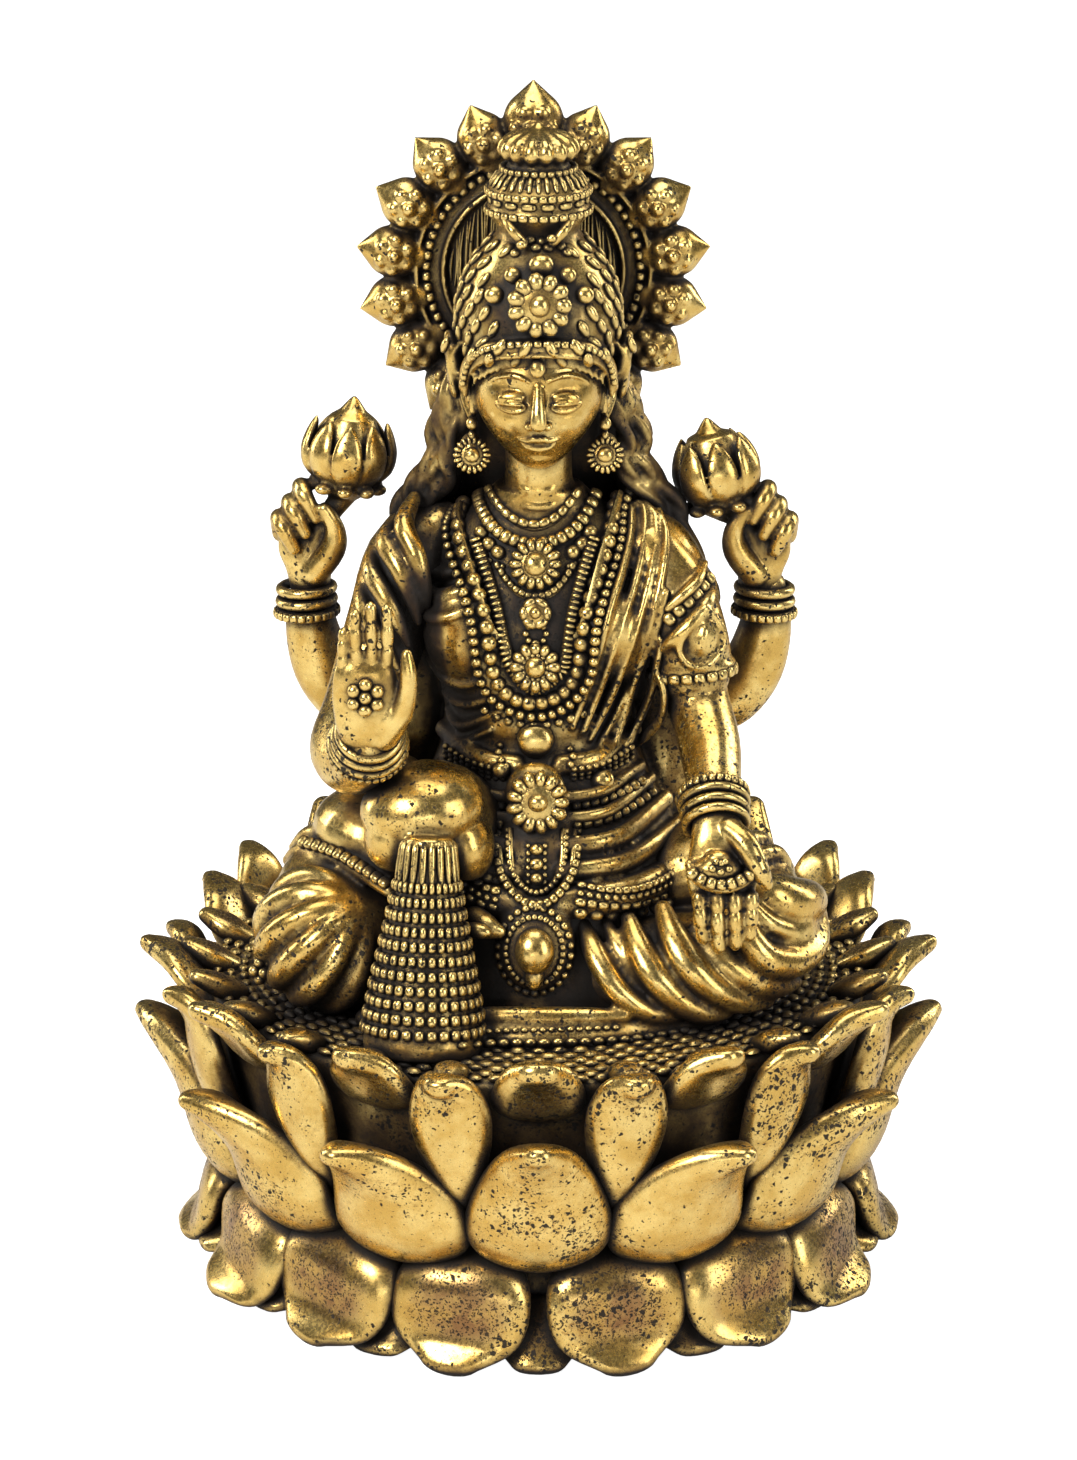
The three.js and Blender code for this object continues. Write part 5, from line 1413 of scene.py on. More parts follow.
head = makeHead()
crown = makeCrown()
halo, haloStreaks = makeHalo()
hair = makeHair()
print("head done")

# Beads and jewels

# One bead of each kind, of radius 1, which is copied with its own size and place
def unit(kind):
    bpy.ops.object.select_all(action="DESELECT")
    if kind == "block":
        bpy.ops.mesh.primitive_cube_add(size=2)
        bpy.ops.object.mode_set(mode="EDIT")
        bpy.ops.mesh.subdivide(number_cuts=2)
        bpy.ops.object.mode_set(mode="OBJECT")
    elif kind == "scale":
        bpy.ops.mesh.primitive_uv_sphere_add(segments=8, ring_count=4, radius=1)
        inOrder(bpy.context.object)
    else:
        bpy.ops.mesh.primitive_ico_sphere_add(subdivisions=3 if kind == "dome" else 2, radius=1)
    obj = bpy.context.object
    corners = [corner.co.copy() for corner in obj.data.vertices]
    squareness = 3.4  # 2 is a ball, and more is a block with rounded edges
    if kind == "block":
        corners = [c / sum(abs(v) ** squareness for v in c) ** (1 / squareness) for c in corners]
    faces = [tuple(face.vertices) for face in obj.data.polygons]
    bpy.ops.object.delete()
    return corners, faces


units = {kind: unit(kind) for kind in ("pearl", "block", "dome", "scale")}
beads = {}  # all beads so far, by the piece that they belong to
cords = []
sideways = Vector((1, 0, 0))


def facing(normal, along):
    z = normal.normalized()
    x = (along - z * z.dot(along)).normalized()
    return Matrix((x, z.cross(x), z)).transposed()


def stud(group, kind, spot, normal, along, size, lift=0.35):
    turn = facing(normal, along)
    size = [value * mm * chance.uniform(0.94, 1.06) for value in size]
    foot = spot + normal.normalized() * lift * size[2]
    beads.setdefault(group, []).append((*units[kind], foot, turn, size))


# Points at even steps of length, each with its direction, and the whole length
def pathAt(path, count):
    samples = [easy(path, k / 200) for k in range(201)]
    lengths = [0]
    for a, b in zip(samples, samples[1:]):
        lengths.append(lengths[-1] + (b - a).length)
    found, k = [], 0
    for i in range(count):
        wanted = lengths[-1] * (i + 0.5) / count
        while lengths[k + 1] < wanted:
            k += 1
        found.append((samples[k], (samples[k + 1] - samples[k]).normalized()))
    return found, lengths[-1]


# Rows of beads laid on a surface; a row is its offset from the path, kind, size and gap in mm
def string(group, points, rows, tree, view=front, proud=0.0):
    path = [place(*point) for point in points]
    _, total = pathAt(path, 1)
    for offset, kind, size, gap in rows:
        steps = pathAt(path, max(round(total / (gap * mm)), 1))[0]
        hits = []
        for spot, along in steps:
            aside = along.cross(view).normalized() * offset * mm
            hits.append(landed(tree, spot + aside, view))
        line = [hit for hit, _ in hits]
        normals = [normal for _, normal in hits]
        if len(line) > 5:  # bridges the bumps below, but is never quite buried in one
            times = round(6 / gap)
            smooth = zip(evened(line, times), line)
            line = [even + view * max((hit - even).dot(view), 0) * 0.5 for even, hit in smooth]
            normals = evened(normals, times)
        for spot, normal, (_, along) in zip(line, normals, steps):
            stud(group, kind, spot + normal.normalized() * proud * mm, normal, along, size)


# A single bead laid on a surface
def bead(group, point, kind, size, tree):
    x, y, z = point
    string(group, [point, (x + 0.1, y, z)], [(0, kind, size, 1)], tree)


# A cord laid on a surface
def cord(points, wide, tree, thick=None, lift=0.1, steps=40):
    spots, _ = pathAt([place(*point) for point in points], 18)
    laid = []
    for spot, _ in spots:
        hit, normal = landed(tree, spot)
        laid.append(hit + normal * lift * mm)
    laid = evened(laid, 2)
    fall = laid[-1] - laid[0]
    side = front.cross(Vector((0, 0, 1))) if abs(fall.z) > abs(fall.x) else (0, 0, 1)
    cords.append(limb(laid, [wide] * 4, [thick or wide] * 4, side=side, sides=10, steps=steps))


def ringOf(group, centre, axis, radius, count, kind, size):
    turn = Vector(axis).to_track_quat("Z", "Y")
    for i in range(count):
        a = math.tau * (i + 0.5) / count
        out = turn @ Vector((math.cos(a), math.sin(a), 0))
        along = turn @ Vector((-math.sin(a), math.cos(a), 0))
        stud(group, kind, place(*centre) + out * radius * mm, out, along, size, 0)


# A round jewel: a low dome, leaves round its rim, a ring of beads if asked, and a boss
def medal(group, point, radius, leaves, tree, view=front, beaded=0, dome=0.4):
    spot, normal = landed(tree, place(*point), view, 0.7)
    turn = facing(normal, sideways)
    stud(group, "dome", spot, normal, sideways, (radius * 0.99, radius * 0.99, radius * 0.40), 0.35)
    for i in range(leaves):
        a = math.tau * i / leaves
        out = turn @ Vector((math.cos(a), math.sin(a), 0))
        size = (radius * 0.34, radius * math.pi / leaves, radius * 0.28)
        foot = spot + out * radius * 0.76 * mm + normal * 0.22 * radius * mm
        stud(group, "pearl", foot, normal, out, size, 0.3)
    for i in range(beaded):
        a = math.tau * i / beaded
        out = turn @ Vector((math.cos(a), math.sin(a), 0))
        small = radius * 0.52 * math.pi / beaded
        foot = spot + out * radius * 0.5 * mm + normal * 0.4 * radius * mm
        stud(group, "pearl", foot, normal, out, (small, small, small * 0.8), 0.2)
    boss = (radius * dome, radius * dome, radius * 0.34)
    stud(group, "dome", spot + normal * 0.26 * radius * mm, normal, sideways, boss, 0.4)


# Rows of beads: offset from their line, kind, half sizes, and length that one takes up, in mm
necklaceSizes = {
    "first": [(0, "block", (0.62, 0.45, 0.42), 1.25)],
    "second": [(0, "block", (0.52, 0.66, 0.6), 1.0)],
    "third": [(0, "block", (0.4, 0.38, 0.36), 0.8)],
    "garland": [(-0.25, "dome", (0.78, 0.78, 0.66), 1.5), (1.05, "pearl", (0.5, 0.52, 0.5), 0.98)],
    "besideGarland": [(0, "block", (0.22, 0.6, 0.5), 0.6)],
    "waist": [(0, "pearl", (0.5, 0.5, 0.42), 1.25)],
    "neckCord": 0.5,  # half width of the cord under each
    "secondCord": 0.62,
    "thirdCord": 0.42,
    "garlandCord": 1.7,
    "besideCord": 0.66,
    "topMedal": (2.4, 14),  # radius, and leaves round the rim
    "middleMedal": (1.5, 6),
    "lowMedal": (2.35, 12),
    "waistMedal": (1.9, 0),
}


def jewelsOfChest():
    tree = treeOf(torso)
    group = "necklaces"
    sizes = necklaceSizes
    first = [(-4.9, 0.7, 49.7), (-3.1, -4.8, 48.4), (-0.3, -5.8, 47.3), (2.2, -5, 48.5), (3.9, -2.6, 50.6)]
    string(group, first, sizes["first"], tree)
    cord(first, sizes["neckCord"], tree, 0.25, lift=-0.05)
    second = [
        (-6.2, 3.9, 49.4), (-4.9, -4.5, 47.6), (-2.6, -6.5, 46.2), (-0.3, -6.2, 45.8), (2.1, -6.6, 46.3),
        (4.2, -5.2, 47.8), (5.5, -2.6, 50.3),
    ]
    cord(second, sizes["secondCord"], tree, 0.5, lift=0.1)
    string(group, second, sizes["second"], tree, proud=0.25)
    short = [
        ([(5.6, -4.5, 47.3), (4.7, -5.4, 45.9), (3.2, -7.1, 45.0)], "dome", (0.78, 0.74, 0.6), 1.62),
        ([(5.4, -5, 45.6), (4.4, -6, 44.2), (2.9, -7, 43.8)], "pearl", (0.34, 0.3, 0.3), 0.72),
    ]
    for s in (-1, 1):
        for points, kind, size, gap in short:
            string(group, [(-0.3 + x * s, y, z) for x, y, z in points], [(0, kind, size, gap)], tree)
    third = [
        (-4.2, -6.7, 44.3), (-2.9, -7.6, 42.2), (-0.3, -9.6, 41.2), (2.2, -7.8, 42.1), (3.5, -6.6, 44.2),
    ]
    string(group, third, sizes["third"], tree)
    cord(third, sizes["thirdCord"], tree, 0.25, lift=-0.05)
    medal(group, (-0.3, -7.1, 44.1), *sizes["topMedal"], tree, dome=0.5)
    medal(group, (-0.3, -8.6, 39.6), *sizes["middleMedal"], tree, dome=0.42)
    for a in range(8):
        x, z = -0.3 + 1.0 * math.sin(a * math.tau / 8), 37.8 + 1.0 * math.cos(a * math.tau / 8)
        bead(group, (x, -9.5, z), "pearl", (0.36, 0.36, 0.34), tree)
    string(group, [(-0.3, -9.9, 37.0), (-0.3, -10, 36.9)], [(0, "pearl", (0.42, 0.5, 0.4), 1)], tree)
    medal(group, (-0.3, -10.5, 34.7), *sizes["lowMedal"], tree, dome=0.48, beaded=14)
    for x in (-3.5, 2.9):
        bead(group, (x, -9.3, 34.6), "dome", (0.6, 0.5, 0.5), tree)
    for points in ([(-3.3, -9.5, 34.7), (-2.4, -10, 34.7)], [(1.9, -10, 34.7), (2.8, -9.5, 34.7)]):
        string(group, points, [(0, "pearl", (0.3, 0.3, 0.3), 0.6)], tree)
    # long garland
    down = [
        (-8.6, -0.1, 50.2), (-7.9, -5.3, 46.2), (-6.6, -7.7, 42.6), (-5.6, -9.1, 39.4),
        (-5.2, -10.3, 36.2), (-4.9, -10.6, 33.8), (-3.7, -10.3, 31.7),
    ]
    up = [
        (3.1, -9.5, 31.7), (4.4, -10.3, 34), (4.6, -10.1, 36.6), (5.1, -8.4, 39.8), (6.1, -6.5, 43.1),
        (7.2, -4.5, 46.4), (7.8, 0.5, 50),
    ]
    rope = [*down, (-0.3, -11.6, 30.6), *up]
    cord(rope, sizes["garlandCord"], tree, 0.5, lift=0.05, steps=70)
    string(group, rope, sizes["garland"], tree, proud=0.5)
    inner = []  # the cord along the garland's inner side
    for x, y, z in rope[1:-1]:
        shift = 1.8 if x < -2 else -1.8 if x > 2 else 0
        inner.append((x + shift, y, z + (1.7 if abs(x) < 5.3 and z < 34 else 0)))
    cord(inner, sizes["besideCord"], tree, 0.6, lift=0.35, steps=60)
    string(group, inner, sizes["besideGarland"], tree, proud=0.5)
    waist = [
        (-5.6, -9.6, 30.4), (-3.4, -10.6, 28.9), (-0.3, -11.2, 28.9), (2.8, -10.6, 28.9),
        (4.8, -9.8, 30.2),
    ]
    string(group, waist, sizes["waist"], tree)
    medal(group, (-0.3, -11, 27.4), *sizes["waistMedal"], tree, dome=0.86)
    return tree


girdleSizes = {
    "belt": (0, "pearl", (0.36, 0.33, 0.34), 0.74),
    "beltGap": 0.55,  # mm between its three rows
    "hanging": [(0, "block", (0.5, 0.5, 0.5), 1.02), (0, "block", (0.52, 0.5, 0.5), 1.08)],
    "band": [
        (-1.15, "block", (0.5, 0.36, 0.4), 0.98), (-0.45, "pearl", (0.4, 0.36, 0.36), 0.9),
        (0.35, "block", (0.55, 0.4, 0.4), 1.15), (1.35, "dome", (0.72, 0.66, 0.55), 1.5),
    ],
    "buckle": (2.9, 13),
    "tongueBeads": ((0, 0.44), (1.25, 0.36)),  # how far each loop lies inside the edge, and its beads
    "dropBeads": ((1.0, 0.42, 26), (0.78, 0.3, 30)),  # share of the oval, size and number
}


def jewelsOfSkirt(tree):
    group = "girdle"
    sizes = girdleSizes
    medal(group, (-0.1, -14.5, 22.1), *sizes["buckle"], tree, dome=0.36, beaded=14)
    upper = [(3.1, -13.5, 24.6), (6, -13.5, 24.9), (9.4, -11, 26.2)]
    rows = [[(x, y, z + sizes["beltGap"] * k) for x, y, z in upper] for k in (1, 0, -1)]
    rows.append([(3.2, -14, 21.4), (7, -13, 21.7), (10.5, -10, 22.8)])  # two rows that hang under it
    rows.append([(3.2, -14.5, 19.7), (7.4, -13.6, 20.1), (11.5, -9, 21.3)])
    kinds = [sizes["belt"]] * 3 + sizes["hanging"]
    bands = {
        -1: [(-3.8, -18, 13.6), (-5.4, -18.6, 14.2), (-7.4, -19, 15.6)],
        1: [(3.6, -18, 13.4), (8, -18.5, 12.9), (11.6, -16, 12.9), (14.5, -12.4, 13.4)],
    }
    for s in (-1, 1):
        for points, kind in zip(rows, kinds):
            string(group, [(x * s, y, z) for x, y, z in points], [kind], tree)
        string(group, bands[s], sizes["band"], tree)
    bead(group, (6.2, -12, 23.4), "dome", (1.2, 1.2, 0.9), tree)
    bead(group, (-3.7, -12, 24.6), "dome", (0.8, 0.8, 0.7), tree)
    for points in (
        [(-3.6, -12, 27.4), (-3.9, -12, 26), (-2.9, -12, 24.6)],
        [(2.9, -12, 27.0), (3.4, -12, 25.8), (2.9, -12, 24.8)],
    ):
        string(group, points, [(0, "pearl", (0.4, 0.4, 0.36), 0.9)], tree)
    # tongue
    for inset, size in sizes["tongueBeads"]:
        k = 1 - inset / 4.2
        half = [(4.0 * k, -12.7, 18.9), (3.9 * k, -16, 15.9), (2.4 * k, -17, 13.4 + inset * 0.7)]
        loop = [(-0.2 - x, y, z) for x, y, z in half]
        loop.append((-0.2, -18.5, 12.2 + inset))
        loop += [(-0.2 + x, y, z) for x, y, z in reversed(half)]
        kind = "pearl" if inset else "block"
        string(group, loop, [(0, kind, (size, size, size * 0.9), size * 2.05)], tree)
        cord([(x * 0.9, y, z + 0.25) for x, y, z in loop], 0.22, tree, 0.3)
    tiny = (0.3, 0.3, 0.3)
    column = [(0, "dome", (0.62, 0.66, 0.5), 1.3), (-0.8, "pearl", tiny, 0.75), (0.8, "pearl", tiny, 0.75)]
    string(group, [(-0.2, -16, 18.4), (-0.2, -18, 14.6)], column, tree)
    # drop in a beaded oval
    for ring, size, count in sizes["dropBeads"]:
        for i in range(count):
            a = math.tau * i / count
            oval = place(-0.4 + 3.5 * ring * math.sin(a), -20, 8.6 + 4.4 * ring * math.cos(a))
            spot, normal = landed(tree, oval, front, 0.6)
            along = Vector((math.cos(a), 0, -math.sin(a)))
            stud(group, "pearl" if ring == 1 else "block", spot, normal, along, (size, size, size * 0.9))
    spot, normal = landed(tree, place(-0.4, -21, 8.9), front, 0.8)
    stud(group, "dome", spot, normal, sideways, (2.0, 2.3, 1.5), 0.1)
    low = landed(tree, place(-0.4, -21, 6.4), front, 0.8)[0]
    stud(group, "dome", low, normal, sideways, (0.95, 1.5, 0.9), 0.1)


def jewelsOfLap():
    group = "lapBeads"
    tree = treeOf(lap)
    sizes = lapSizes
    foot, axis = place(*sizes["coneFoot"]), Vector(sizes["coneLean"]).normalized()
    turn = axis.to_track_quat("Z", "Y")
    profile = [(5.75, 1.6), (5.55, 3.4), (4.95, 6.6), (4.25, 10), (3.6, 13.2), (3.0, 16.2)]
    for i in range(sizes["coneRows"]):
        h = 1.9 + 1.43 * i
        k = next(n for n in range(1, len(profile)) if profile[n][1] >= h or n == len(profile) - 1)
        t = (h - profile[k - 1][1]) / (profile[k][1] - profile[k - 1][1])
        r = profile[k - 1][0] + (profile[k][0] - profile[k - 1][0]) * t - 0.1
        count = sizes["coneColumns"]
        half = 0.44 * math.tau * r / count
        for j in range(count):
            a = math.tau * j / count
            out = turn @ Vector((math.cos(a), math.sin(a), 0.12))
            along = turn @ Vector((-math.sin(a), math.cos(a), 0))
            stud(group, "block", foot + axis * h * mm + out * r * mm, out, along, (half, 0.56, 0.5), 0.2)
    flute = [(17.1, 2.95), (18.2, 2.78), (19.4, 2.6), (20.4, 2.5), (20.9, 2.3)]  # height and radius
    for j in range(sizes["coneFlutes"]):
        a = math.tau * j / sizes["coneFlutes"]
        out = turn @ Vector((math.cos(a), math.sin(a), 0))
        line = [foot + axis * h * mm + out * r * mm for h, r in flute]
        along = turn @ Vector((-math.sin(a), math.cos(a), 0))
        cords.append(limb(line, [0.24, 0.36, 0.38, 0.36, 0.2], side=along, sides=8, steps=8))
    hem = [(-23.6, -6, 14.6), (-19.4, -11.4, 15.0), (-14.6, -17.2, 13.9)]
    above = Vector((0, -0.8, 0.8)).normalized()
    string(group, hem, sizes["hemBeads"], tree, above)
    mat = [(-8, -25.4, 1.0), (0, -25.9, 1.2), (8, -25, 1.1), (15, -21.5, 0.9)]
    string(group, mat, sizes["matBeads"], tree)
    mat = [(-8, -24.6, 1.9), (0, -25, 2.1), (8, -24, 2.0)]
    string(group, mat, sizes["upperMatBeads"], tree)
    pip = (0.6, 0.6, 0.6)
    for i in range(6):  # small flower at the knee
        a = i * math.tau / 6
        stud(group, "pearl", place(-27.0 + math.cos(a), -14.6, 4.6 + math.sin(a)), front, sideways, pip)
    stud(group, "pearl", place(-27.0, -15.2, 4.6), front, sideways, pip)
    string(group, [(-6.6, -20, 11.0), (-5.0, -20.5, 10.8)], [(0, "dome", (1.5, 0.8, 0.8), 3)], tree)


def jewelsOfArms():
    group = "armBeads"
    sizes = armSizes
    tree = treeOf(arms)
    ringOf(group, (15.2, -4.6, 32.5), (-0.08, 0.1, 1), *sizes["armlet"])
    sleeveEdge = [(12.4, -8.6, 38.6), (14.2, -8.2, 40.1), (15.7, -6.8, 41.2), (16.9, -4.2, 42.2)]
    string(group, sleeveEdge, sizes["sleeveBeads"], tree)
    handTree = treeOf(hands)
    for i in range(6):  # flower in the raised palm
        a = math.tau * i / 6 + 0.5
        leaf = place(-16.6 + 1.28 * math.cos(a), -22, 35.1 + 1.28 * math.sin(a))
        spot, normal = landed(handTree, leaf, front, 0.8)
        stud(group, "dome", spot, normal, sideways, (0.66, 0.66, 0.55), 0.3)
    spot, normal = landed(handTree, place(-16.6, -22, 35.1), front, 0.8)
    stud(group, "dome", spot, normal, sideways, (0.62, 0.62, 0.6), 0.4)
    # coins in the lowered palm
    rim = [
        (14.7, -22.6, 17.9), (15.6, -23.4, 16.9), (17.7, -23.9, 16.3), (19.8, -23.4, 16.9),
        (20.7, -22.6, 17.9),
    ]
    string(group, rim, sizes["coins"], handTree)
    string(group, [(16.4, -23.6, 18.5), (17.6, -24, 18.1), (18.8, -23.6, 18.5)], sizes["heap"], handTree)
    # bangles
    bangle = sizes["bangle"]
    right, left = (0.04, -0.72, 0.69), (0.08, -0.78, -0.62)  # directions of the two forearms
    for i, r in enumerate((3.0, 3.3, 3.55)):
        cords.append(ringAt((-16.3 - 0.1 * i, -19.5 + 0.85 * i, 30.9 - 0.8 * i), right, r, bangle))
        low = (17.25 - 0.08 * i, -18.7 + 0.95 * i, 21.3 + 0.68 * i)
        cords.append(ringAt(low, left, 2.95 + 0.1 * i, bangle))
    ringOf(group, (-16.6, -17.1, 28.7), right, *sizes["rightCuff"])
    ringOf(group, (17.0, -16.1, 23.2), left, *sizes["leftCuff"])
    for s in (-1, 1):
        for i in range(3):
            wrist = (22.9 * s - 0.3, 4.6, 36.0 + 1.2 * i)
            cords.append(ringAt(wrist, (0.05 * s, 0, 1), 2.7 - 0.05 * i, sizes["wristRing"]))
        ringOf(group, (22.9 * s - 0.3, 4.6, 36.0), (0.05 * s, 0, 1), *sizes["wristCuff"])


earringSizes = {
    "disc": 1.6,  # radius
    "boss": 0.75,
    "rays": 18,
    "rayReach": 1.42,
    "ray": (0.46, 0.24, 0.3),
}


def jewelsOfHead():
    group = "crownBeads"
    sizes = crownSizes
    tree = treeOf(crown)
    medal(group, (0.1, -12, 71.2), *sizes["jewel"], tree, view=Vector((0, -1, 0.12)).normalized())
    knobs = [(0.25, 75.4, 1.15), (-2.45, 74.4, 0.85), (2.75, 74.4, 0.85)]
    knobs += [(-4.2, 72.5, 0.9), (4.4, 72.5, 0.9)]
    for x, z, r in knobs:
        spot, normal = landed(tree, place(x, -12, z), front, 0.6)
        stud(group, "dome", spot, normal, sideways, (r, r, r * 0.8), 0.45)
    middle = place(0, sizes["axis"], 0)
    for row in range(sizes["scaleRows"]):  # lozenge scales round the crown
        z = 65.6 + sizes["scaleStep"] * row
        count = 22 if row < 5 else 18 if row < 7 else 14
        for i in range(count):
            a = math.tau * (i + 0.5 * (row % 2)) / count
            x, y = math.sin(a), -math.cos(a)
            kept = 3.6 if z < 71 else 5.4 if z < 74.5 else 3.9  # room for the jewel and the knobs in front
            if z > 67.4 and abs(x * 8) < kept and y < 0:
                continue
            near = middle + Vector((x * 14, y * 14, z)) * mm
            hit, normal, _, _ = tree.ray_cast(near, Vector((-x, -y, 0)), 16 * mm)
            if hit is None:
                continue
            lean = Vector((0, 0, 1)) + Vector((y, -x, 0)) * (0.55 if x > 0 else -0.55)
            stud(group, "pearl", hit, normal, lean, sizes["scale"], 0.2)
    half = [(7.3, -5.6, 61.8), (6.9, -7.2, 64.5), (5.2, -10, 66.5), (2.8, -11.5, 67.3)]
    arch = [(-x, y, z) for x, y, z in half] + [(0, -12, 67.5)] + half[::-1]
    string(group, arch, sizes["bandBeads"], tree)
    stud(group, "dome", place(-0.1, -11.35, 65.0), front, sideways, (0.72, 0.95, 0.5), 0)
    petals = [
        (-1.6, 76.6), (-0.7, 77.2), (0.3, 77.0), (1.3, 77.2), (2.1, 76.5), (-2.2, 75.8), (2.7, 75.9),
        (-0.2, 76.3), (0.9, 76.3),
    ]
    for x, z in petals:  # under the pot
        spot, normal = landed(tree, place(x, -9, z), front, 0.5)
        stud(group, "pearl", spot, normal, sideways, (0.52, 0.46, 0.42), 0.3)
    # rows and ribs on the pot
    axis, ribs = sizes["potAxis"], sizes["ribs"]
    for z, r, count, size in sizes["potBeads"]:
        ringOf(group, (0, axis, z), (0, 0, 1), r, count, "block", size)
    for i in range(ribs):
        a = math.tau * i / ribs
        c, s = math.cos(a), math.sin(a)
        line = [(r * c, axis + r * s, z) for r, z in ((4.6, 81.5), (4.15, 82.15), (3.65, 82.6))]
        cords.append(roll(line, [0.22, 0.3, 0.22], side=(-s, c, 0), sides=6, steps=4))
    group = "earrings"
    sizes = earringSizes
    disc, boss, rays = sizes["disc"], sizes["boss"], sizes["rays"]
    for s in (-1, 1):
        centre = place(6.5 * s, -5.6, 54.8)
        stud(group, "dome", centre, front, sideways, (disc, disc, 0.6), 0)
        stud(group, "dome", centre + front * 0.45 * mm, front, sideways, (boss, boss, 0.5), 0.2)
        turn = facing(front, sideways)
        for i in range(rays):
            a = math.tau * i / rays
            out = turn @ Vector((math.cos(a), math.sin(a), 0))
            foot = centre + out * sizes["rayReach"] * mm + front * 0.3 * mm
            stud(group, "pearl", foot, front, out, sizes["ray"], 0.2)
        stud(group, "dome", place(6.5 * s, -5.6, 58.0), front, sideways, (0.6, 0.62, 0.5), 0)
        stud(group, "pearl", place(6.5 * s, -5.4, 56.8), front, sideways, (0.36, 0.5, 0.36), 0)
        outer = place(6.6 * s, -4.4, 55.2)
        stud(group, "dome", outer, Vector((s, 0, 0)), Vector((0, 1, 0)), (disc, disc, 1.2), 0)
    x, y, z = haloSizes["middle"]
    ringOf("haloBeads", (x, y - 0.8, z), (0, -1, 0), 10.55, haloSizes["beads"], "block", (0.46, 0.5, 0.46))


seatSizes = {
    "rings": 11,
    "first": 19.6,  # radius of the innermost ring
    "ringGap": 1.28,
    "scaleGap": 2.05,
}


def seatBeads():
    for n in range(seatSizes["rings"]):
        r = seatSizes["first"] + seatSizes["ringGap"] * n
        count = round(math.tau * r / seatSizes["scaleGap"])
        for i in range(count):
            a = 360 * (i + 0.5 * (n % 2)) / count
            size = (chance.uniform(0.72, 0.98), chance.uniform(0.46, 0.62), chance.uniform(0.3, 0.44))
            side = Vector((math.cos(math.radians(a)), math.sin(math.radians(a)), 0))
            stud("seatScales", "scale", around(r, a, seatTop, 1.02), Vector((0, 0, 1)), side, size, 0.25)


chestTree = jewelsOfChest()
jewelsOfSkirt(chestTree)
jewelsOfLap()
jewelsOfArms()
jewelsOfHead()
seatBeads()
for group, shapes in beads.items():
    finished(strewn(group, shapes), look=smallBrass)
finished(facingOut(joined(cords, "cords")))
print("jewels done")

# Floor, lights and camera

stageLook = {
    "floor": (0.86, 0.86, 0.85, 1),
    "world": (0.92, 0.93, 0.95, 1),
    "worldStrength": 0.09,
    "backdropStrength": 1.0,
    "floorGlow": 1.0,
    "floorRadius": 1.6,
    "aim": (0, 0, 0.06),
    "lamps": [  # name, place, size, watts and tint
        ("keyLight", (-0.34, -0.42, 0.42), (0.24, 0.26), 3.2, (1, 0.97, 0.92)),
        ("fillLight", (0.46, -0.34, 0.24), (0.24, 0.40), 1.15, (1, 1, 1)),
        ("topLight", (0.0, -0.02, 0.52), (0.36, 0.30), 1.00, (1, 1, 1)),
        ("leftEdge", (-0.48, 0.20, 0.24), (0.12, 0.40), 0.96, (1, 1, 1)),
        ("rightEdge", (0.44, 0.26, 0.26), (0.12, 0.40), 0.84, (1, 1, 1)),
        ("frontLow", (0.0, -0.60, 0.08), (0.40, 0.08), 0.30, (1, 1, 1)),
    ],
}


def makeFloor():
    bpy.ops.object.select_all(action="DESELECT")
    under = (0, 0, -0.0002)  # a hair below the lotus, so that the two don't flicker
    bpy.ops.mesh.primitive_circle_add(
        vertices=96, radius=stageLook["floorRadius"], fill_type="NGON", location=under,
    )
    floor = settle(bpy.context.object)
    floor.name = "studioFloor"
    paper = bpy.data.materials.new("palePaper")
    paper.use_nodes = True
    shader = paper.node_tree.nodes["Principled BSDF"]
    shader.inputs["Base Color"].default_value = stageLook["floor"]
    shader.inputs["Roughness"].default_value = 0.9
    shader.inputs["Emission Color"].default_value = (1, 1, 1, 1)
    seen = wire(paper.node_tree, "ShaderNodeLightPath").outputs["Is Camera Ray"]
    glow = sums(paper.node_tree, "MULTIPLY", seen, stageLook["floorGlow"])
    paper.node_tree.links.new(glow, shader.inputs["Emission Strength"])
    floor.data.materials.append(paper)


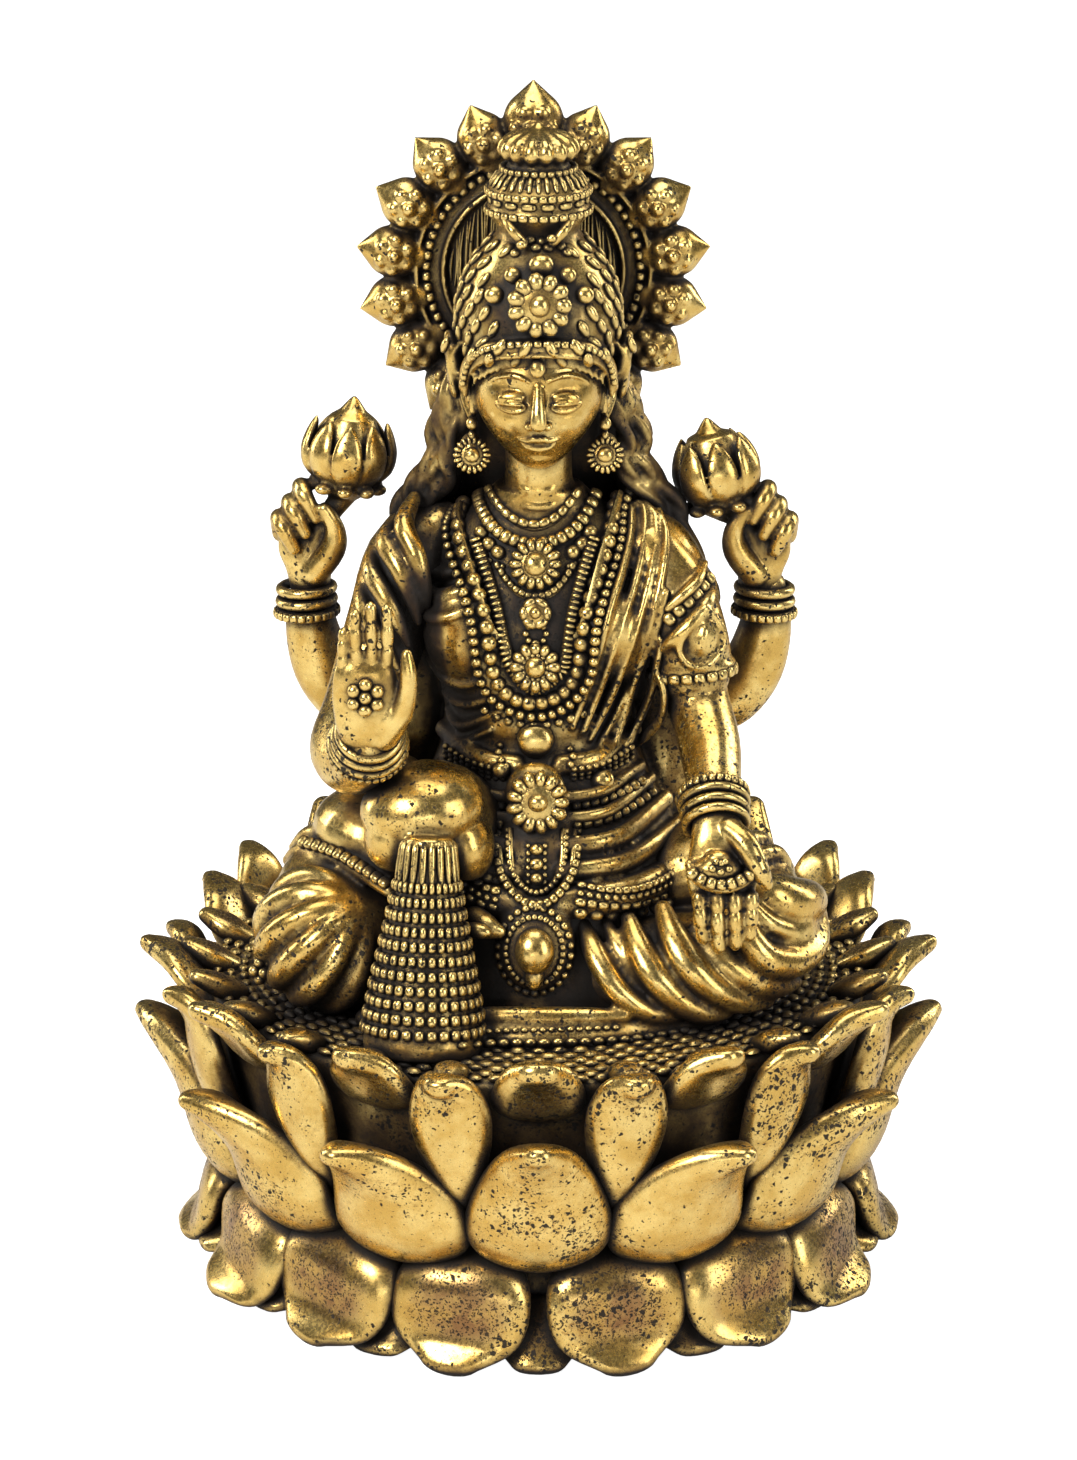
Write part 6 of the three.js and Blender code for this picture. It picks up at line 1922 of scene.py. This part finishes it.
def softBox(name, spot, size, power, tint):
    lamp = bpy.data.lights.new(name, "AREA")
    lamp.shape = "RECTANGLE"
    lamp.size, lamp.size_y = size
    lamp.energy = power
    lamp.color = tint
    obj = bpy.data.objects.new(name, lamp)
    bpy.context.scene.collection.objects.link(obj)
    obj.location = spot
    obj.rotation_euler = (Vector(stageLook["aim"]) - Vector(spot)).to_track_quat("-Z", "Y").to_euler()


def makeLight():
    world = bpy.data.worlds.new("studio")
    bpy.context.scene.world = world
    world.use_nodes = True
    tree = world.node_tree
    dim = tree.nodes["Background"]
    dim.inputs["Color"].default_value = stageLook["world"]
    dim.inputs["Strength"].default_value = stageLook["worldStrength"]
    paper = wire(
        tree, "ShaderNodeBackground", {"Color": (1, 1, 1, 1), "Strength": stageLook["backdropStrength"]},
    )
    seen = wire(tree, "ShaderNodeLightPath").outputs["Is Camera Ray"]
    both = wire(tree, "ShaderNodeMixShader", {0: seen, 1: dim.outputs[0], 2: paper.outputs[0]})
    tree.links.new(both.outputs[0], tree.nodes["World Output"].inputs["Surface"])
    for lamp in stageLook["lamps"]:
        softBox(*lamp)


viewer = {
    "aimHeight": 0.0554,
    "distance": 0.6,
    "rise": 17.5,  # degrees above the level
    "pixelsAcross": 6000,  # how many photo pixels one radian takes
}


def makeCamera():
    aimHeight, distance, rise = viewer["aimHeight"], viewer["distance"], math.radians(viewer["rise"])
    lens = bpy.data.cameras.new("viewer")
    camera = bpy.data.objects.new("viewer", lens)
    bpy.context.scene.collection.objects.link(camera)
    camera.location = (0, -distance * math.cos(rise), aimHeight + distance * math.sin(rise))
    camera.rotation_euler = (math.pi / 2 - rise, 0, 0)
    photoTall = 1460
    lens.sensor_width = 36
    lens.lens = viewer["pixelsAcross"] / photoTall * lens.sensor_width
    lens.clip_start, lens.clip_end = 0.01, 10
    bpy.context.scene.camera = camera


makeFloor()
makeLight()
makeCamera()
scene = bpy.context.scene
scene.view_settings.view_transform = "Standard"
scene.view_settings.look = "None"
scene.view_settings.exposure = 0.0
